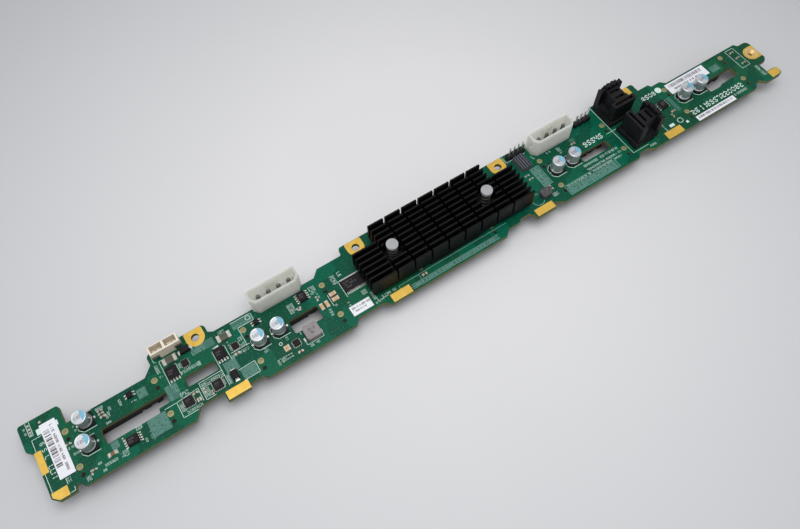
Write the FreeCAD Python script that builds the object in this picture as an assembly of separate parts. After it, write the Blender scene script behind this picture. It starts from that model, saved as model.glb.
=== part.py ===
import FreeCAD, Part
import math
import os

os.makedirs("parts", exist_ok=True)
V = FreeCAD.Vector

# Drive backplane board, in millimetres. X runs along the board and Z points away from the drives.
# z = 0 is the mating face of the drive sockets, which hang under the board.

# ---- layout
columns = 5
columnPitch = 82.4         # one drive bay to the next
leftMargin = 36.65         # first column centre to the left end
rightMargin = 40.45        # last column centre to the right end
boardWidth = 38.1
boardThick = 2.0
socketHeight = 9.0         # mating face of a drive socket to the board
upperRowY = 6.5            # line of the retention pins, upper sockets
rowPitch = 17.0
fitGap = 0.1               # clearance round a pin or peg

boardLength = (columns - 1) * columnPitch + leftMargin + rightMargin
leftEnd = -boardLength / 2
rightEnd = boardLength / 2
topEdge = boardWidth / 2
bottomEdge = -boardWidth / 2
boardBottom = socketHeight
boardTop = boardBottom + boardThick
over = 1.0                 # how far a cutting tool runs past a face
alike = 0.01               # two coordinates this close are the same

# ---- board edge: column, start, end, depth, left ramp, left rise, right ramp, right rise
# start and end are measured from the column centre; a rise of None ramps all the way to the edge
farRight = rightMargin + over
topNotches = (
    (0, -18.8, 21.2, 9.25, 0, 0, 4.3, 4.0),
    (1, -33.65, -11.6, 5.75, 2.3, 1.2, 0, 0),
    (1, 12.1, 22.15, 7.35, 0, 0, 3.5, 3.3),
    (1, 22.1, 35.65, 4.05, 0, 0, 1.0, 1.0),
    (3, 2.9, 21.8, 3.75, 0, 0, 3.0, None),
    (4, -31.7, farRight, 5.3, 0, 0, 0, 0),
    (4, -24.9, farRight, 7.05, 1.0, 1.75, 0, 0),
    (4, -18.4, farRight, 9.45, 2.5, 2.4, 0, 0),
    (4, 32.6, farRight, 11.45, 1.5, 2.0, 0, 0),
)
bottomNotches = (
    (0, -24.4, -20.6, 2.35, 0.5, None, 1.6, None),
    (1, -54.35, -39.65, 4.7, 3.8, None, 0, 0),
    (1, -28.85, -20.85, 2.05, 0, 0, 0.7, None),
    (2, -59.0, -40.0, 2.75, 2.5, None, 3.5, None),
    (2, 23.5, 41.8, 2.75, 3.0, None, 0.8, None),
    (2, 33.0, 41.0, 4.05, 1.3, 1.3, 1.5, 2.05),
    (2, 52.9, 58.5, 2.8, 0, 0, 5.0, None),
    (3, 23.0, 33.1, 2.05, 2.1, None, 3.3, None),
    (4, 20.9, 29.1, 3.15, 3.7, None, 3.5, None),
)
# rounded outer corners on the top edge: column, offset, radius
edgeCorners = (
    (0, -18.8, 1.3), (0, 21.2, 2.0), (1, -33.65, 2.0), (1, 35.65, 1.5), (4, -31.7, 1.2),
)
endCornerRadius = 1.3
leftRelief = 2.6           # the left end steps in below its head
leftReliefTop = 7.0
tabSlotDepth = 6.55        # slot that frees the tab at the right end
tabSlotTop = -7.8
tabSlotBottom = -13.8
tabSlotChamfer = 1.8
tabRadius = 2.4
shoulderRadius = 2.6       # upper right corner

# ---- air slots: column, then corner points from the column centre
airSlots = (
    (0, ((-7.4, -8.0), (16.6, -8.0), (16.6, -5.8), (22.0, -5.8), (22.0, -0.7), (-7.4, -0.7))),
    (0, ((31.2, -4.1), (45.4, -4.1), (45.4, 0.9), (31.2, 0.9))),
    (1, ((-1.25, -7.8), (13.05, -7.8), (13.05, -0.7), (-1.25, -0.7))),
    (3, ((-1.7, -6.3), (15.5, -6.3), (15.5, -1.4), (-1.7, -1.4))),
    (4, ((-0.6, -7.9), (5.9, -7.9), (8.1, -7.0), (19.8, -7.0), (19.8, -1.0), (-0.6, -1.0))),
)
airSlotRadius = 0.9

# ---- screw holes
screwCount = 4
screwRadius = 1.8
screwRowY = 15.0
nutInset = 4.05            # captive nut, from the right end
nutHoleRadius = 2.4
nutY = 0.0
nutBore = 1.0
nutBarrel = 1.6            # how far the nut stands out under the board
nutFlange = 3.4
nutFlangeThick = 0.25
nutMouth = 2.3
nutDish = 1.3              # depth of the dished mouth

# ---- drive sockets
socketLength = 44.6
socketFront = 5.1          # retention line to the front wall
socketBack = 2.3           # retention line to the back wall
footThick = 3.4            # full-length foot against the board
footStep = 0.5             # the nose is this much slimmer than the foot
noseLength = 37.0
guideLength = 2.9          # lower guide block at each end of the nose
guideDrop = 2.4            # its face, below the mating face
guideNotch = 1.5           # slot across each guide block
lockSpread = 40.0          # retention blades, centre to centre
lockLength = 1.2
lockThick = 0.6
pegDrop = 3.7              # peg, from its retention blade
pegHoleRadius = 1.0
holeFlatCount = 8
pegSide = 1.2              # diamond-shaped peg
pegLength = 1.4
bladeSlotLength = 33.6
bladeSlotWidth = 2.8
bladeSlotDepth = 6.6
keyLength = 4.6            # the blade slot's wider key
keyWiden = 0.9
# steps in the front lip: start, end, depth
lipSteps = ((8.5, 10.0, 1.6), (10.0, 13.0, 0.6), (13.0, 15.8, 1.6))
contactWide = 0.5
contactBow = 0.6           # how far a leaf stands out from the slot's wall
contactCrest = 1.6         # its lower end to its crest
contactTall = 5.4
powerContacts = 15
signalContacts = 7
contactPitch = 1.27
contactEnd = 1.2           # end of the slot to the first contact

# ---- heat sink, its chip and the two push pins
sinkColumn = 2
sinkShift = -1.25          # heat sink centre from the column centre
sinkX = leftEnd + leftMargin + sinkColumn * columnPitch + sinkShift
sinkLength = 88.5
sinkFrontY = -12.2
finRows = 10
sideFinRows = 7            # rows of the two lower wings
finPitch = 2.9
finThick = 1.2
finTipThick = 0.9
backLength = 62.2
backShift = 0.15
crossCuts = 8
crossPitch = 9.1
crossShift = 0.45
crossWide = 1.0
chipSize = 27.0
chipSubstrateThick = 1.0
chipMouldSize = 24.0
chipMouldThick = 1.1
padInset = 0.5             # thermal pad, inside the moulding's edge
padThick = 0.4
baseThick = 2.0
sinkTop = 12.7             # above the board
chipY = 1.45
pushPinX = (-27.4, 24.1)   # from the heat sink centre
pushPinY = -1.0
pinHeadRadius = 2.75
pinHeadThick = 1.3
pinTop = 16.8              # above the board
pinShaftRadius = 1.4
pinBarbRadius = 1.9
pinBarbLength = 2.6
pinBarbTip = 0.95          # radius at the end of the barb
pinSplit = 0.6
pinSplitTop = 1.0          # how far the split runs up past the board's underside
pinWell = 4.6              # radius of the pocket in the fins
wellFlatCount = 16
springWire = 0.32
springRadius = 2.05
springTurnCount = 4
springFlatCount = 8           # flats in a turn

# ---- can capacitors: column, offset, y
capacitors = (
    (0, -11.2, 5.7), (0, -13.5, -4.5), (1, -15.95, -2.2), (1, -6.35, -2.1),
    (3, -16.2, -2.1), (3, -6.4, -2.1), (4, -14.9, -2.2), (4, -4.9, -2.2),
)
canRadius = 3.15
canTop = 7.7
grooveZ = 1.9
grooveDeep = 0.35
canBaseSize = 6.6
canBaseThick = 1.0
canBaseChamfer = 1.3

# ---- power headers: column, offset of the centre
powerHeaders = ((1, 0.25), (3, -9.0))
powerLength = 24.4
powerDepth = 7.8
powerTall = 11.0
powerWall = 1.0
powerFloor = 2.4
powerFrontY = 9.5
powerY = powerFrontY + powerDepth / 2
powerChamfer = 2.3
powerInnerChamfer = 1.9
powerPitch = 5.08
powerPins = 4
powerPinRadius = 1.05
powerPinTop = 8.8
powerPinTip = 0.6          # radius of the blunt tip
powerPinFlatCount = 12
sideWindowLow = 4.4
sideWindowTall = 3.2
sideWindowWide = 1.6
rampWide = 5.6             # thicker latch ramp inside the back wall
rampDeep = 0.6

# ---- pin headers: column, offset of the centre, y
pinHeaders = ((3, -28.1, 16.1), (3, 12.1, 13.9))
pinPitch = 2.54
pinsPerHeader = 4
stripDepth = 2.5
stripTall = 2.5
stripWaist = 0.35
pinSide = 0.64
pinPoint = 0.3             # length of the point over the pin's side
pinTall = 8.6

# ---- four-way signal header
signalColumn = 0
signalX = 30.4
signalY = 16.6
signalLength = 13.4
signalDepth = 4.4
signalTall = 6.5
signalWall = 0.8
signalDivider = 1.1
signalFloor = 2.0
signalNotchWide = 2.9
signalNotchTall = 2.6
signalNotchDeep = 0.9
signalPins = 4
signalPitch = 2.5
signalPinSide = 0.5
signalPinTop = 5.2

# ---- high-density cable sockets: column, offset and y of the corner at the closed side, quarter turns
cableSockets = ((3, 23.1, 4.1, 1), (3, 25.1, -13.6, 0))
cableLength = 13.8
cableWidth = 13.4
cableTall = 13.4
cableRound = 0.8           # upright corners at the closed side
cableSlots = ((1.1, 1.5, 11.0), (4.5, 1.4, 5.6), (8.4, 1.4, 5.6))   # start, width, length
slotFloor = 4.2
waistStart = 3.4           # the middle is narrower from here to the tower
waistDeep = 3.0
waistFloor = 5.0
towerThick = 2.6
shoulderTall = 14.4
crestWidth = 7.2           # middle of the tower, which stands higher
towerTall = 15.6
towerRibs = 5
ribDeep = 0.4
skirtFront = 1.2           # the foot stands out past the body
skirtSide = 0.6
skirtTall = 3.0
waferThick = 0.25          # contacts on the far wall of each slot
waferPitch = 0.9
waferFill = 0.55           # contact width over its pitch
waferDrop = 1.8            # slot's mouth to the contact
reliefTall = 1.2           # relief under the closed side
reliefWide = 5.0
reliefDeep = 0.6

# ---- flat parts on the board, grouped by kind: column, offset, y, length along X, width, height
memoryChip = ((2, -48.8, 0.0, 12.5, 6.1, 1.1),)
powerChips = (
    (0, 2.6, -12.4, 5.0, 3.9, 1.5), (0, 28.0, 5.6, 4.9, 5.9, 1.1), (1, -33.35, 2.2, 4.9, 5.9, 1.1),
    (1, 9.65, 6.3, 3.9, 4.9, 1.5), (4, -27.8, -0.6, 3.9, 4.9, 1.5),
)
logicChips = (
    (0, 34.4, 6.5, 3.0, 3.0, 0.9), (1, -26.25, 1.7, 3.0, 3.0, 0.9), (1, -3.05, -11.8, 3.0, 3.0, 0.9),
    (0, 28.7, -10.0, 4.3, 4.3, 0.9), (0, 42.2, -10.0, 4.3, 4.3, 0.9), (0, 8.6, 6.4, 2.6, 2.8, 1.1),
    (1, -13.55, 6.7, 2.6, 2.6, 1.0),
)
inductors = ((1, 5.25, -11.3, 7.0, 7.0, 3.0), (3, -29.9, -10.6, 5.6, 4.6, 2.8))
fuses = ((0, 29.4, 11.4, 6.4, 3.2, 0.9), (1, -28.55, 8.2, 6.4, 3.2, 0.9))
diodes = ((0, 36.8, 12.0, 4.4, 2.7, 2.0), (1, -32.2, -10.2, 2.9, 4.0, 2.0))
ceramics = (
    (1, 21.85, -0.25, 3.2, 1.8, 1.2), (1, 21.85, -3.0, 3.2, 1.8, 1.2), (1, 14.75, -3.3, 1.6, 3.2, 1.2),
    (1, 17.35, -3.3, 1.6, 3.2, 1.2), (1, -7.65, -11.15, 2.6, 1.2, 0.9), (1, -7.65, -12.55, 2.6, 1.2, 0.9),
)
chipChamfer = 0.25
inductorChamfer = 0.9
ribbedBlock = (3, -28.7, 9.6, 5.4, 8.4, 3.2)
ribCount = 4
ribWide = 0.7
ribHigh = 0.5


def columnX(index, offset=0.0):
    return leftEnd + leftMargin + index * columnPitch + offset


def box(x0, x1, y0, y1, z0, z1):
    return Part.makeBox(x1 - x0, y1 - y0, z1 - z0, V(x0, y0, z0))


def block(x, y, length, width, z0, z1):
    return box(x - length / 2, x + length / 2, y - width / 2, y + width / 2, z0, z1)


def cylinder(x, y, radius, z0, z1):
    return Part.makeCylinder(radius, z1 - z0, V(x, y, z0))


def prism(points, z0, z1):
    wire = Part.makePolygon([V(x, y, z0) for x, y in list(points) + [points[0]]])
    return Part.Face(wire).extrude(V(0, 0, z1 - z0))


def diamond(x, y, side, z0, z1):
    half = side * math.sqrt(0.5)
    return prism([(x - half, y), (x, y - half), (x + half, y), (x, y + half)], z0, z1)


def ring(x, y, radius, flats, z):
    turn = 2 * math.pi / flats
    points = [V(x + radius * math.cos(i * turn), y + radius * math.sin(i * turn), z) for i in range(flats)]
    return Part.makePolygon(points + [points[0]])


def turned(profile, x, y):
    """Solid of revolution from (radius, z) points, on a vertical axis at x, y."""
    wire = Part.makePolygon([V(x + r, y, z) for r, z in list(profile) + [profile[0]]])
    return Part.Face(wire).revolve(V(x, y, 0), V(0, 0, 1), 360)


def uprightEdges(shape, keep):
    chosen = []
    for edge in shape.Edges:
        a = edge.Vertexes[0].Point
        b = edge.Vertexes[-1].Point
        if abs(a.x - b.x) < 1e-6 and abs(a.y - b.y) < 1e-6 and keep(a.x, a.y):
            chosen.append(edge)
    return chosen


def topRim(shape, top):
    return [edge for edge in shape.Edges if near(edge.Vertexes[0].Z, top) and near(edge.Vertexes[-1].Z, top)]


def roundUprights(shape, radius, keep=lambda x, y: True):
    return shape.makeFillet(radius, uprightEdges(shape, keep))


def near(a, b):
    return abs(a - b) < alike


def save(name, solids):
    shape = solids[0] if len(solids) == 1 else Part.makeCompound(solids)
    shape.exportStep("parts/" + name + ".step")


# ---- the board
def edgeNotch(notch, edge, inward):
    """Bay cut into a long edge; inward is -1 at the top edge and 1 at the bottom edge."""
    column, start, end, depth, leftRamp, leftRise, rightRamp, rightRise = notch
    x0 = columnX(column, start)
    x1 = columnX(column, end)
    floor = edge + inward * depth
    outside = edge - inward * over
    leftRise = depth if leftRise is None else leftRise
    rightRise = depth if rightRise is None else rightRise
    points = [(x0, outside), (x0, floor - inward * leftRise)]
    points += [(x0 + leftRamp, floor)] if leftRamp else []
    points += [(x1 - rightRamp, floor)] if rightRamp else []
    points += [(x1, floor - inward * rightRise), (x1, outside)]
    return prism(points, boardBottom - over, boardTop + over)


def airSlot(slot):
    column, corners = slot
    tool = prism([(columnX(column, x), y) for x, y in corners], boardBottom - over, boardTop + over)
    return roundUprights(tool, airSlotRadius)


def screwX(index):
    return (index - (screwCount - 1) / 2) * columnPitch


def lockPoints(column, row):
    y = upperRowY - row * rowPitch
    return [(columnX(column, side * lockSpread / 2), y) for side in (-1, 1)]


def throughHole(x, y, radius):
    return cylinder(x, y, radius, boardBottom - over, boardTop + over)


def facetedHole(x, y, radius):
    """Small repeated hole, drawn with flats."""
    low = boardBottom - over
    return Part.Face(ring(x, y, radius, holeFlatCount, low)).extrude(V(0, 0, boardTop + over - low))


def boardHoles():
    low = boardBottom - over
    high = boardTop + over
    holes = [throughHole(screwX(i), screwRowY, screwRadius) for i in range(screwCount)]
    holes.append(throughHole(rightEnd - nutInset, nutY, nutHoleRadius))
    for column in range(columns):
        for row in (0, 1):
            for x, y in lockPoints(column, row):
                holes.append(block(x, y, lockLength + 2 * fitGap, lockThick + 2 * fitGap, low, high))
                holes.append(facetedHole(x, y - pegDrop, pegHoleRadius))
    for x in pushPinX:
        holes.append(throughHole(sinkX + x, pushPinY, pinShaftRadius + fitGap))
    return holes


def circuitBoard():
    plate = box(leftEnd, rightEnd, bottomEdge, topEdge, boardBottom, boardTop)
    tools = [edgeNotch(notch, topEdge, -1) for notch in topNotches]
    tools += [edgeNotch(notch, bottomEdge, 1) for notch in bottomNotches]
    low = boardBottom - over
    high = boardTop + over
    inner = leftEnd + leftRelief
    tools.append(prism([
        (leftEnd - over, leftReliefTop), (leftEnd, leftReliefTop), (inner, leftReliefTop - leftRelief),
        (inner, bottomEdge + leftRelief), (inner + leftRelief, bottomEdge),
        (inner + leftRelief, bottomEdge - over), (leftEnd - over, bottomEdge - over)], low, high))
    slotEnd = rightEnd - tabSlotDepth
    tools.append(prism([
        (slotEnd, tabSlotBottom), (rightEnd + over, tabSlotBottom), (rightEnd + over, tabSlotTop),
        (rightEnd, tabSlotTop + tabSlotChamfer), (rightEnd - tabSlotChamfer, tabSlotTop),
        (slotEnd, tabSlotTop)], low, high))
    plate = plate.cut(tools)
    for column, offset, radius in edgeCorners:
        cornerX = columnX(column, offset)
        plate = roundUprights(plate, radius, lambda x, y: near(x, cornerX) and near(y, topEdge))
    plate = roundUprights(plate, endCornerRadius, lambda x, y: near(x, leftEnd) and near(y, topEdge))
    plate = roundUprights(plate, tabRadius, lambda x, y: near(x, rightEnd) and y < tabSlotTop)
    plate = roundUprights(plate, shoulderRadius, lambda x, y: near(x, rightEnd) and y > 0)
    return plate.cut([airSlot(slot) for slot in airSlots] + boardHoles())


def captiveNut():
    """Pressed-in nut at the right end: a knurled body, a thin flange on top and a dished mouth."""
    x = rightEnd - nutInset
    body = nutHoleRadius - fitGap / 2
    top = boardTop + nutFlangeThick
    profile = [
        (nutBore, boardBottom - nutBarrel), (body, boardBottom - nutBarrel), (body, boardTop),
        (nutFlange, boardTop), (nutFlange, top), (nutMouth, top), (nutBore, top - nutDish)]
    return turned(profile, x, nutY)


def spread(centre, pitch, count):
    return [centre + (i - (count - 1) / 2) * pitch for i in range(count)]


def powerPinX(header):
    return spread(columnX(*header), powerPitch, powerPins)


def headerPinX(header):
    return spread(columnX(header[0], header[1]), pinPitch, pinsPerHeader)


def signalPinX():
    return spread(columnX(signalColumn, signalX), signalPitch, signalPins)


# ---- drive sockets
def socketWalls(row):
    y = upperRowY - row * rowPitch
    return y - socketFront, y + socketBack


def driveSocketHousing(column, row):
    x = columnX(column)
    front, back = socketWalls(row)
    middle = (front + back) / 2
    half = socketLength / 2
    nose = noseLength / 2
    y0 = front + footStep
    y1 = back - footStep
    footFace = boardBottom - footThick
    body = box(x - half, x + half, y0, y1, footFace, boardBottom)
    guide = nose + guideLength
    body = body.fuse(box(x - guide, x + guide, y0, y1, guideDrop, boardBottom))
    body = body.fuse(box(x - nose, x + nose, front, back, 0, boardBottom))
    slotHalf = bladeSlotLength / 2
    wide = bladeSlotWidth / 2
    cuts = [box(x - slotHalf, x + slotHalf, middle - wide, middle + wide, -over, bladeSlotDepth)]
    cuts.append(box(x - slotHalf, x - slotHalf + keyLength, middle, middle + wide + keyWiden,
                    -over, bladeSlotDepth))
    for start, end, depth in lipSteps:
        cuts.append(box(x + start, x + end, front - over, middle - wide, -over, depth))
    cuts.append(box(x - half - over, x - nose, middle - guideNotch / 2, middle + guideNotch / 2, 0, footFace))
    cuts.append(box(x + nose, x + half + over, middle - guideNotch / 2, middle + guideNotch / 2, 0, footFace))
    body = body.cut(cuts)
    for px, py in lockPoints(column, row):
        body = body.fuse(diamond(px, py - pegDrop, pegSide, boardBottom, boardBottom + pegLength))
    return body.removeSplitter()


def contactBlade(x, wall):
    """Leaf that bows from the slot's wall, drawn as a triangle and extruded along X."""
    z0 = bladeSlotDepth - contactTall
    x0 = x - contactWide / 2
    corners = [V(x0, wall, z0), V(x0, wall, bladeSlotDepth), V(x0, wall - contactBow, z0 + contactCrest)]
    return Part.Face(Part.makePolygon(corners + [corners[0]])).extrude(V(contactWide, 0, 0))


def driveSocketContacts(column, row):
    """Blade contacts along the back wall of the slot, and two retention blades up through the board."""
    x = columnX(column)
    front, back = socketWalls(row)
    wall = (front + back + bladeSlotWidth) / 2
    slotHalf = bladeSlotLength / 2
    places = [x + slotHalf - contactEnd - i * contactPitch for i in range(powerContacts)]
    strips = [contactBlade(px, wall) for px in places]
    keyWall = wall + keyWiden
    for i in range(signalContacts):
        px = x - slotHalf + contactEnd + i * contactPitch
        inKey = px + contactWide / 2 < x - slotHalf + keyLength
        face = keyWall if inKey else wall
        strips.append(contactBlade(px, face))
    for px, py in lockPoints(column, row):
        strips.append(block(px, py, lockLength, lockThick, boardBottom, boardTop))
    return strips


# ---- heat sink
def sinkLevels():
    seat = boardTop + chipSubstrateThick + chipMouldThick + padThick
    return seat, seat + baseThick, boardTop + sinkTop


def finRow(x0, x1, y, z0, z1):
    """One row of fins, thinner at the tip, drawn as a trapezium and extruded along X."""
    half = finThick / 2
    tip = finTipThick / 2
    corners = [(y - half, z0), (y + half, z0), (y + tip, z1), (y - tip, z1)]
    wire = Part.makePolygon([V(x0, a, b) for a, b in corners + [corners[0]]])
    return Part.Face(wire).extrude(V(x1 - x0, 0, 0))


def heatSink():
    seat, floor, tip = sinkLevels()
    wing = sinkLength / 2
    back = backLength / 2
    firstRow = sinkFrontY + finThick / 2
    wingBackY = firstRow + (sideFinRows - 1) * finPitch + finThick / 2
    backY = firstRow + (finRows - 1) * finPitch + finThick / 2
    base = box(sinkX - wing, sinkX + wing, sinkFrontY, wingBackY, seat, floor)
    base = base.fuse(box(sinkX + backShift - back, sinkX + backShift + back, sinkFrontY, backY, seat, floor))
    rows = []
    for i in range(finRows):
        y = firstRow + i * finPitch
        reach = (sinkX - wing, sinkX + wing)
        if i >= sideFinRows:
            reach = (sinkX + backShift - back, sinkX + backShift + back)
        rows.append(finRow(reach[0], reach[1], y, floor, tip))
    cuts = [block(x, (sinkFrontY + backY) / 2, crossWide, backY - sinkFrontY + 2 * over, floor, tip + over)
            for x in spread(sinkX + crossShift, crossPitch, crossCuts)]
    for x in pushPinX:
        pocket = Part.Face(ring(sinkX + x, pushPinY, pinWell, wellFlatCount, floor))
        cuts.append(pocket.extrude(V(0, 0, tip + over - floor)))
    fins = Part.makeCompound(rows).cut(cuts)
    body = base.fuse(fins.Solids).removeSplitter()
    return body.cut([cylinder(sinkX + x, pushPinY, pinShaftRadius + fitGap, seat - over, floor + over)
                     for x in pushPinX])


def expanderChip():
    substrate = block(sinkX, chipY, chipSize, chipSize, boardTop, boardTop + chipSubstrateThick)
    top = boardTop + chipSubstrateThick + chipMouldThick
    mould = block(sinkX, chipY, chipMouldSize, chipMouldSize, boardTop + chipSubstrateThick, top)
    return substrate.fuse(mould.makeChamfer(chipChamfer, topRim(mould, top)))


def thermalPad():
    z0 = boardTop + chipSubstrateThick + chipMouldThick
    side = chipMouldSize - 2 * padInset
    return block(sinkX, chipY, side, side, z0, z0 + padThick)


def pushPin(side):
    """Nylon push pin: flat head, shaft down through the board and a split barb."""
    x = sinkX + pushPinX[side]
    top = boardTop + pinTop
    neck = top - pinHeadThick
    end = boardBottom - pinBarbLength
    profile = [
        (0, top), (pinHeadRadius, top), (pinHeadRadius, neck), (pinShaftRadius, neck),
        (pinShaftRadius, boardBottom - fitGap),
        (pinBarbRadius, boardBottom - fitGap), (pinBarbTip, end), (0, end)]
    body = turned(profile, x, pushPinY)
    across = 2 * (pinBarbRadius + over)
    return body.cut(block(x, pushPinY, pinSplit, across, end - over, boardBottom + pinSplitTop))


def pushPinSpring(side):
    x = sinkX + pushPinX[side]
    seat, floor, tip = sinkLevels()
    low = floor + springWire
    high = boardTop + pinTop - pinHeadThick - springWire
    steps = springTurnCount * springFlatCount
    turn = 2 * math.pi / springFlatCount
    rings = []
    for i in range(steps + 1):
        across = V(math.cos(i * turn), math.sin(i * turn), 0)
        centre = V(x, pushPinY, low + (high - low) * i / steps) + across * springRadius
        up = V(0, 0, springWire)
        out = across * springWire
        corners = [centre - out, centre - up, centre + out, centre + up, centre - out]
        rings.append(Part.makePolygon(corners))
    return Part.makeLoft(rings, True, True)


# ---- capacitors
def capacitorCan(place):
    x = columnX(place[0], place[1])
    y = place[2]
    z0 = boardTop + canBaseThick
    top = boardTop + canTop
    groove = boardTop + grooveZ
    profile = [
        (0, z0), (canRadius, z0), (canRadius - grooveDeep, groove), (canRadius, groove + grooveDeep),
        (canRadius, top), (0, top)]
    return turned(profile, x, y)


def capacitorBase(place):
    x = columnX(place[0], place[1])
    y = place[2]
    half = canBaseSize / 2
    corner = half - canBaseChamfer
    outline = [(x - corner, y - half), (x + half, y - half), (x + half, y + half), (x - corner, y + half),
               (x - half, y + corner), (x - half, y - corner)]
    return prism(outline, boardTop, boardTop + canBaseThick)


# ---- power headers
def powerOutline(x, inset, cut):
    half = powerLength / 2 - inset
    y0 = powerFrontY + inset
    y1 = powerFrontY + powerDepth - inset
    return [(x - half + cut, y0), (x + half - cut, y0), (x + half, y0 + cut), (x + half, y1),
            (x - half, y1), (x - half, y0 + cut)]


def powerHeaderShell(header):
    x = columnX(*header)
    top = boardTop + powerTall
    floor = boardTop + powerFloor
    body = prism(powerOutline(x, 0, powerChamfer), boardTop, top)
    cavity = prism(powerOutline(x, powerWall, powerInnerChamfer), floor, top + over)
    inner = powerFrontY + powerDepth - powerWall
    ramp = block(x, inner - rampDeep / 2, rampWide, rampDeep, floor, top - 2 * powerWall)
    left = x - powerLength / 2
    low = boardTop + sideWindowLow
    window = block(left, powerY, 2 * (powerWall + over), sideWindowWide, low, low + sideWindowTall)
    return body.cut(cavity.cut(ramp)).cut(window)


def powerHeaderPins(header):
    pins = []
    tip = boardTop + powerPinTop
    shoulder = tip - powerPinRadius
    for x in powerPinX(header):
        shaft = ring(x, powerY, powerPinRadius, powerPinFlatCount, boardTop + powerFloor)
        shoulderRing = ring(x, powerY, powerPinRadius, powerPinFlatCount, shoulder)
        point = ring(x, powerY, powerPinTip, powerPinFlatCount, tip)
        pins.append(Part.makeLoft([shaft, shoulderRing, point], True, True))
    return pins


# ---- pin headers
def pinHeaderStrip(header):
    """Moulded strip, waisted between its pins."""
    x = columnX(header[0], header[1])
    y = header[2]
    top = boardTop + stripTall
    body = block(x, y, pinPitch * pinsPerHeader, stripDepth, boardTop, top)
    cuts = []
    for px in spread(x, pinPitch, pinsPerHeader - 1):
        for side in (-1, 1):
            edge = y + side * stripDepth / 2
            notch = [(px - stripWaist, edge), (px + stripWaist, edge), (px, edge - side * stripWaist)]
            cuts.append(prism(notch, boardTop - over, top + over))
    cuts += [block(px, y, pinSide, pinSide, boardTop - over, top + over) for px in headerPinX(header)]
    return body.cut(cuts)


def squarePins(places, y, side, low, tip):
    """Square posts with a pyramid point."""
    pins = []
    for x in places:
        shaft = block(x, y, side, side, low, tip)
        pins.append(shaft.makeChamfer(side * pinPoint, topRim(shaft, tip)))
    return pins


# ---- signal header
def signalHeaderShell():
    x = columnX(signalColumn, signalX)
    half = signalLength / 2
    front = signalY - signalDepth / 2
    back = signalY + signalDepth / 2
    top = boardTop + signalTall
    floor = boardTop + signalFloor
    body = box(x - half, x + half, front, back, boardTop, top)
    cuts = []
    for side in (-1, 1):
        a, b = sorted((x + side * signalDivider / 2, x + side * (half - signalWall)))
        cuts.append(box(a, b, front + signalWall, back - signalWall / 2, floor, top + over))
        a, b = sorted((x + side * (half - signalNotchWide), x + side * (half + over)))
        cuts.append(box(a, b, front - over, front + signalNotchDeep, boardTop, boardTop + signalNotchTall))
    cuts += [block(px, signalY, signalPinSide, signalPinSide, boardTop - over, floor + over)
             for px in signalPinX()]
    return body.cut(cuts)


# ---- high-density cable sockets
def placeCable(shape, socket):
    """Move a part drawn with its closed corner at 0, 0 to its socket's place on the board."""
    column, offset, y, quarter = socket
    if quarter:
        shape.rotate(V(0, 0, 0), V(0, 0, 1), 90)
        shape.translate(V(cableWidth, 0, 0))
    shape.translate(V(columnX(column, offset), y, boardTop))
    return shape


def cableSocketHousing(socket):
    towerX = cableLength - towerThick
    middle = cableWidth / 2
    body = box(0, towerX, 0, cableWidth, 0, cableTall)
    body = roundUprights(body, cableRound, lambda x, y: near(x, 0))
    skirt = box(-skirtFront, towerX, -skirtSide, cableWidth + skirtSide, 0, skirtTall)
    tower = box(towerX, cableLength, 0, cableWidth, 0, shoulderTall)
    crest = block(towerX + towerThick / 2, middle, towerThick, crestWidth, cableTall, towerTall)
    body = body.fuse([skirt, tower, crest])
    cuts = []
    for start, wide, long in cableSlots:
        cuts.append(block(start + wide / 2, middle, wide, long, slotFloor, cableTall + over))
    waistLong = towerX - waistStart
    for y in (0, cableWidth):
        cuts.append(block(towerX - waistLong / 2, y, waistLong, 2 * waistDeep, waistFloor, cableTall + over))
    pitch = cableWidth / towerRibs
    for y in spread(middle, pitch, towerRibs):
        for face, low in ((towerX, cableTall), (cableLength, skirtTall)):
            cuts.append(block(face, y, 2 * ribDeep, pitch / 2, low, towerTall + over))
    cuts.append(block(-skirtFront, middle, 2 * reliefDeep, reliefWide, -over, reliefTall))
    return placeCable(body.cut(cuts).removeSplitter(), socket)


def cableSocketContacts(socket):
    solids = []
    for start, wide, long in cableSlots:
        x = start + wide - waferThick / 2
        for y in spread(cableWidth / 2, waferPitch, int(long / waferPitch) - 1):
            top = cableTall - waferDrop
            solids.append(block(x, y, waferThick, waferPitch * waferFill, slotFloor, top))
    return placeCable(Part.makeCompound(solids), socket).Solids


# ---- flat parts
def flatPart(part, chamfer):
    """Moulded block with a chamfered top rim."""
    column, offset, y, length, width, height = part
    top = boardTop + height
    body = block(columnX(column, offset), y, length, width, boardTop, top)
    return body.makeChamfer(chamfer, topRim(body, top)) if chamfer else body


def inductor(part):
    body = flatPart(part, 0)
    return body.makeChamfer(inductorChamfer, uprightEdges(body, lambda x, y: True))


def ribbedPart(part):
    column, offset, y, length, width, height = part
    body = flatPart(part, 0)
    top = boardTop + height
    ribs = [block(x, y, ribWide, width, top, top + ribHigh)
            for x in spread(columnX(column, offset), length / ribCount, ribCount)]
    return body.fuse(ribs)


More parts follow.
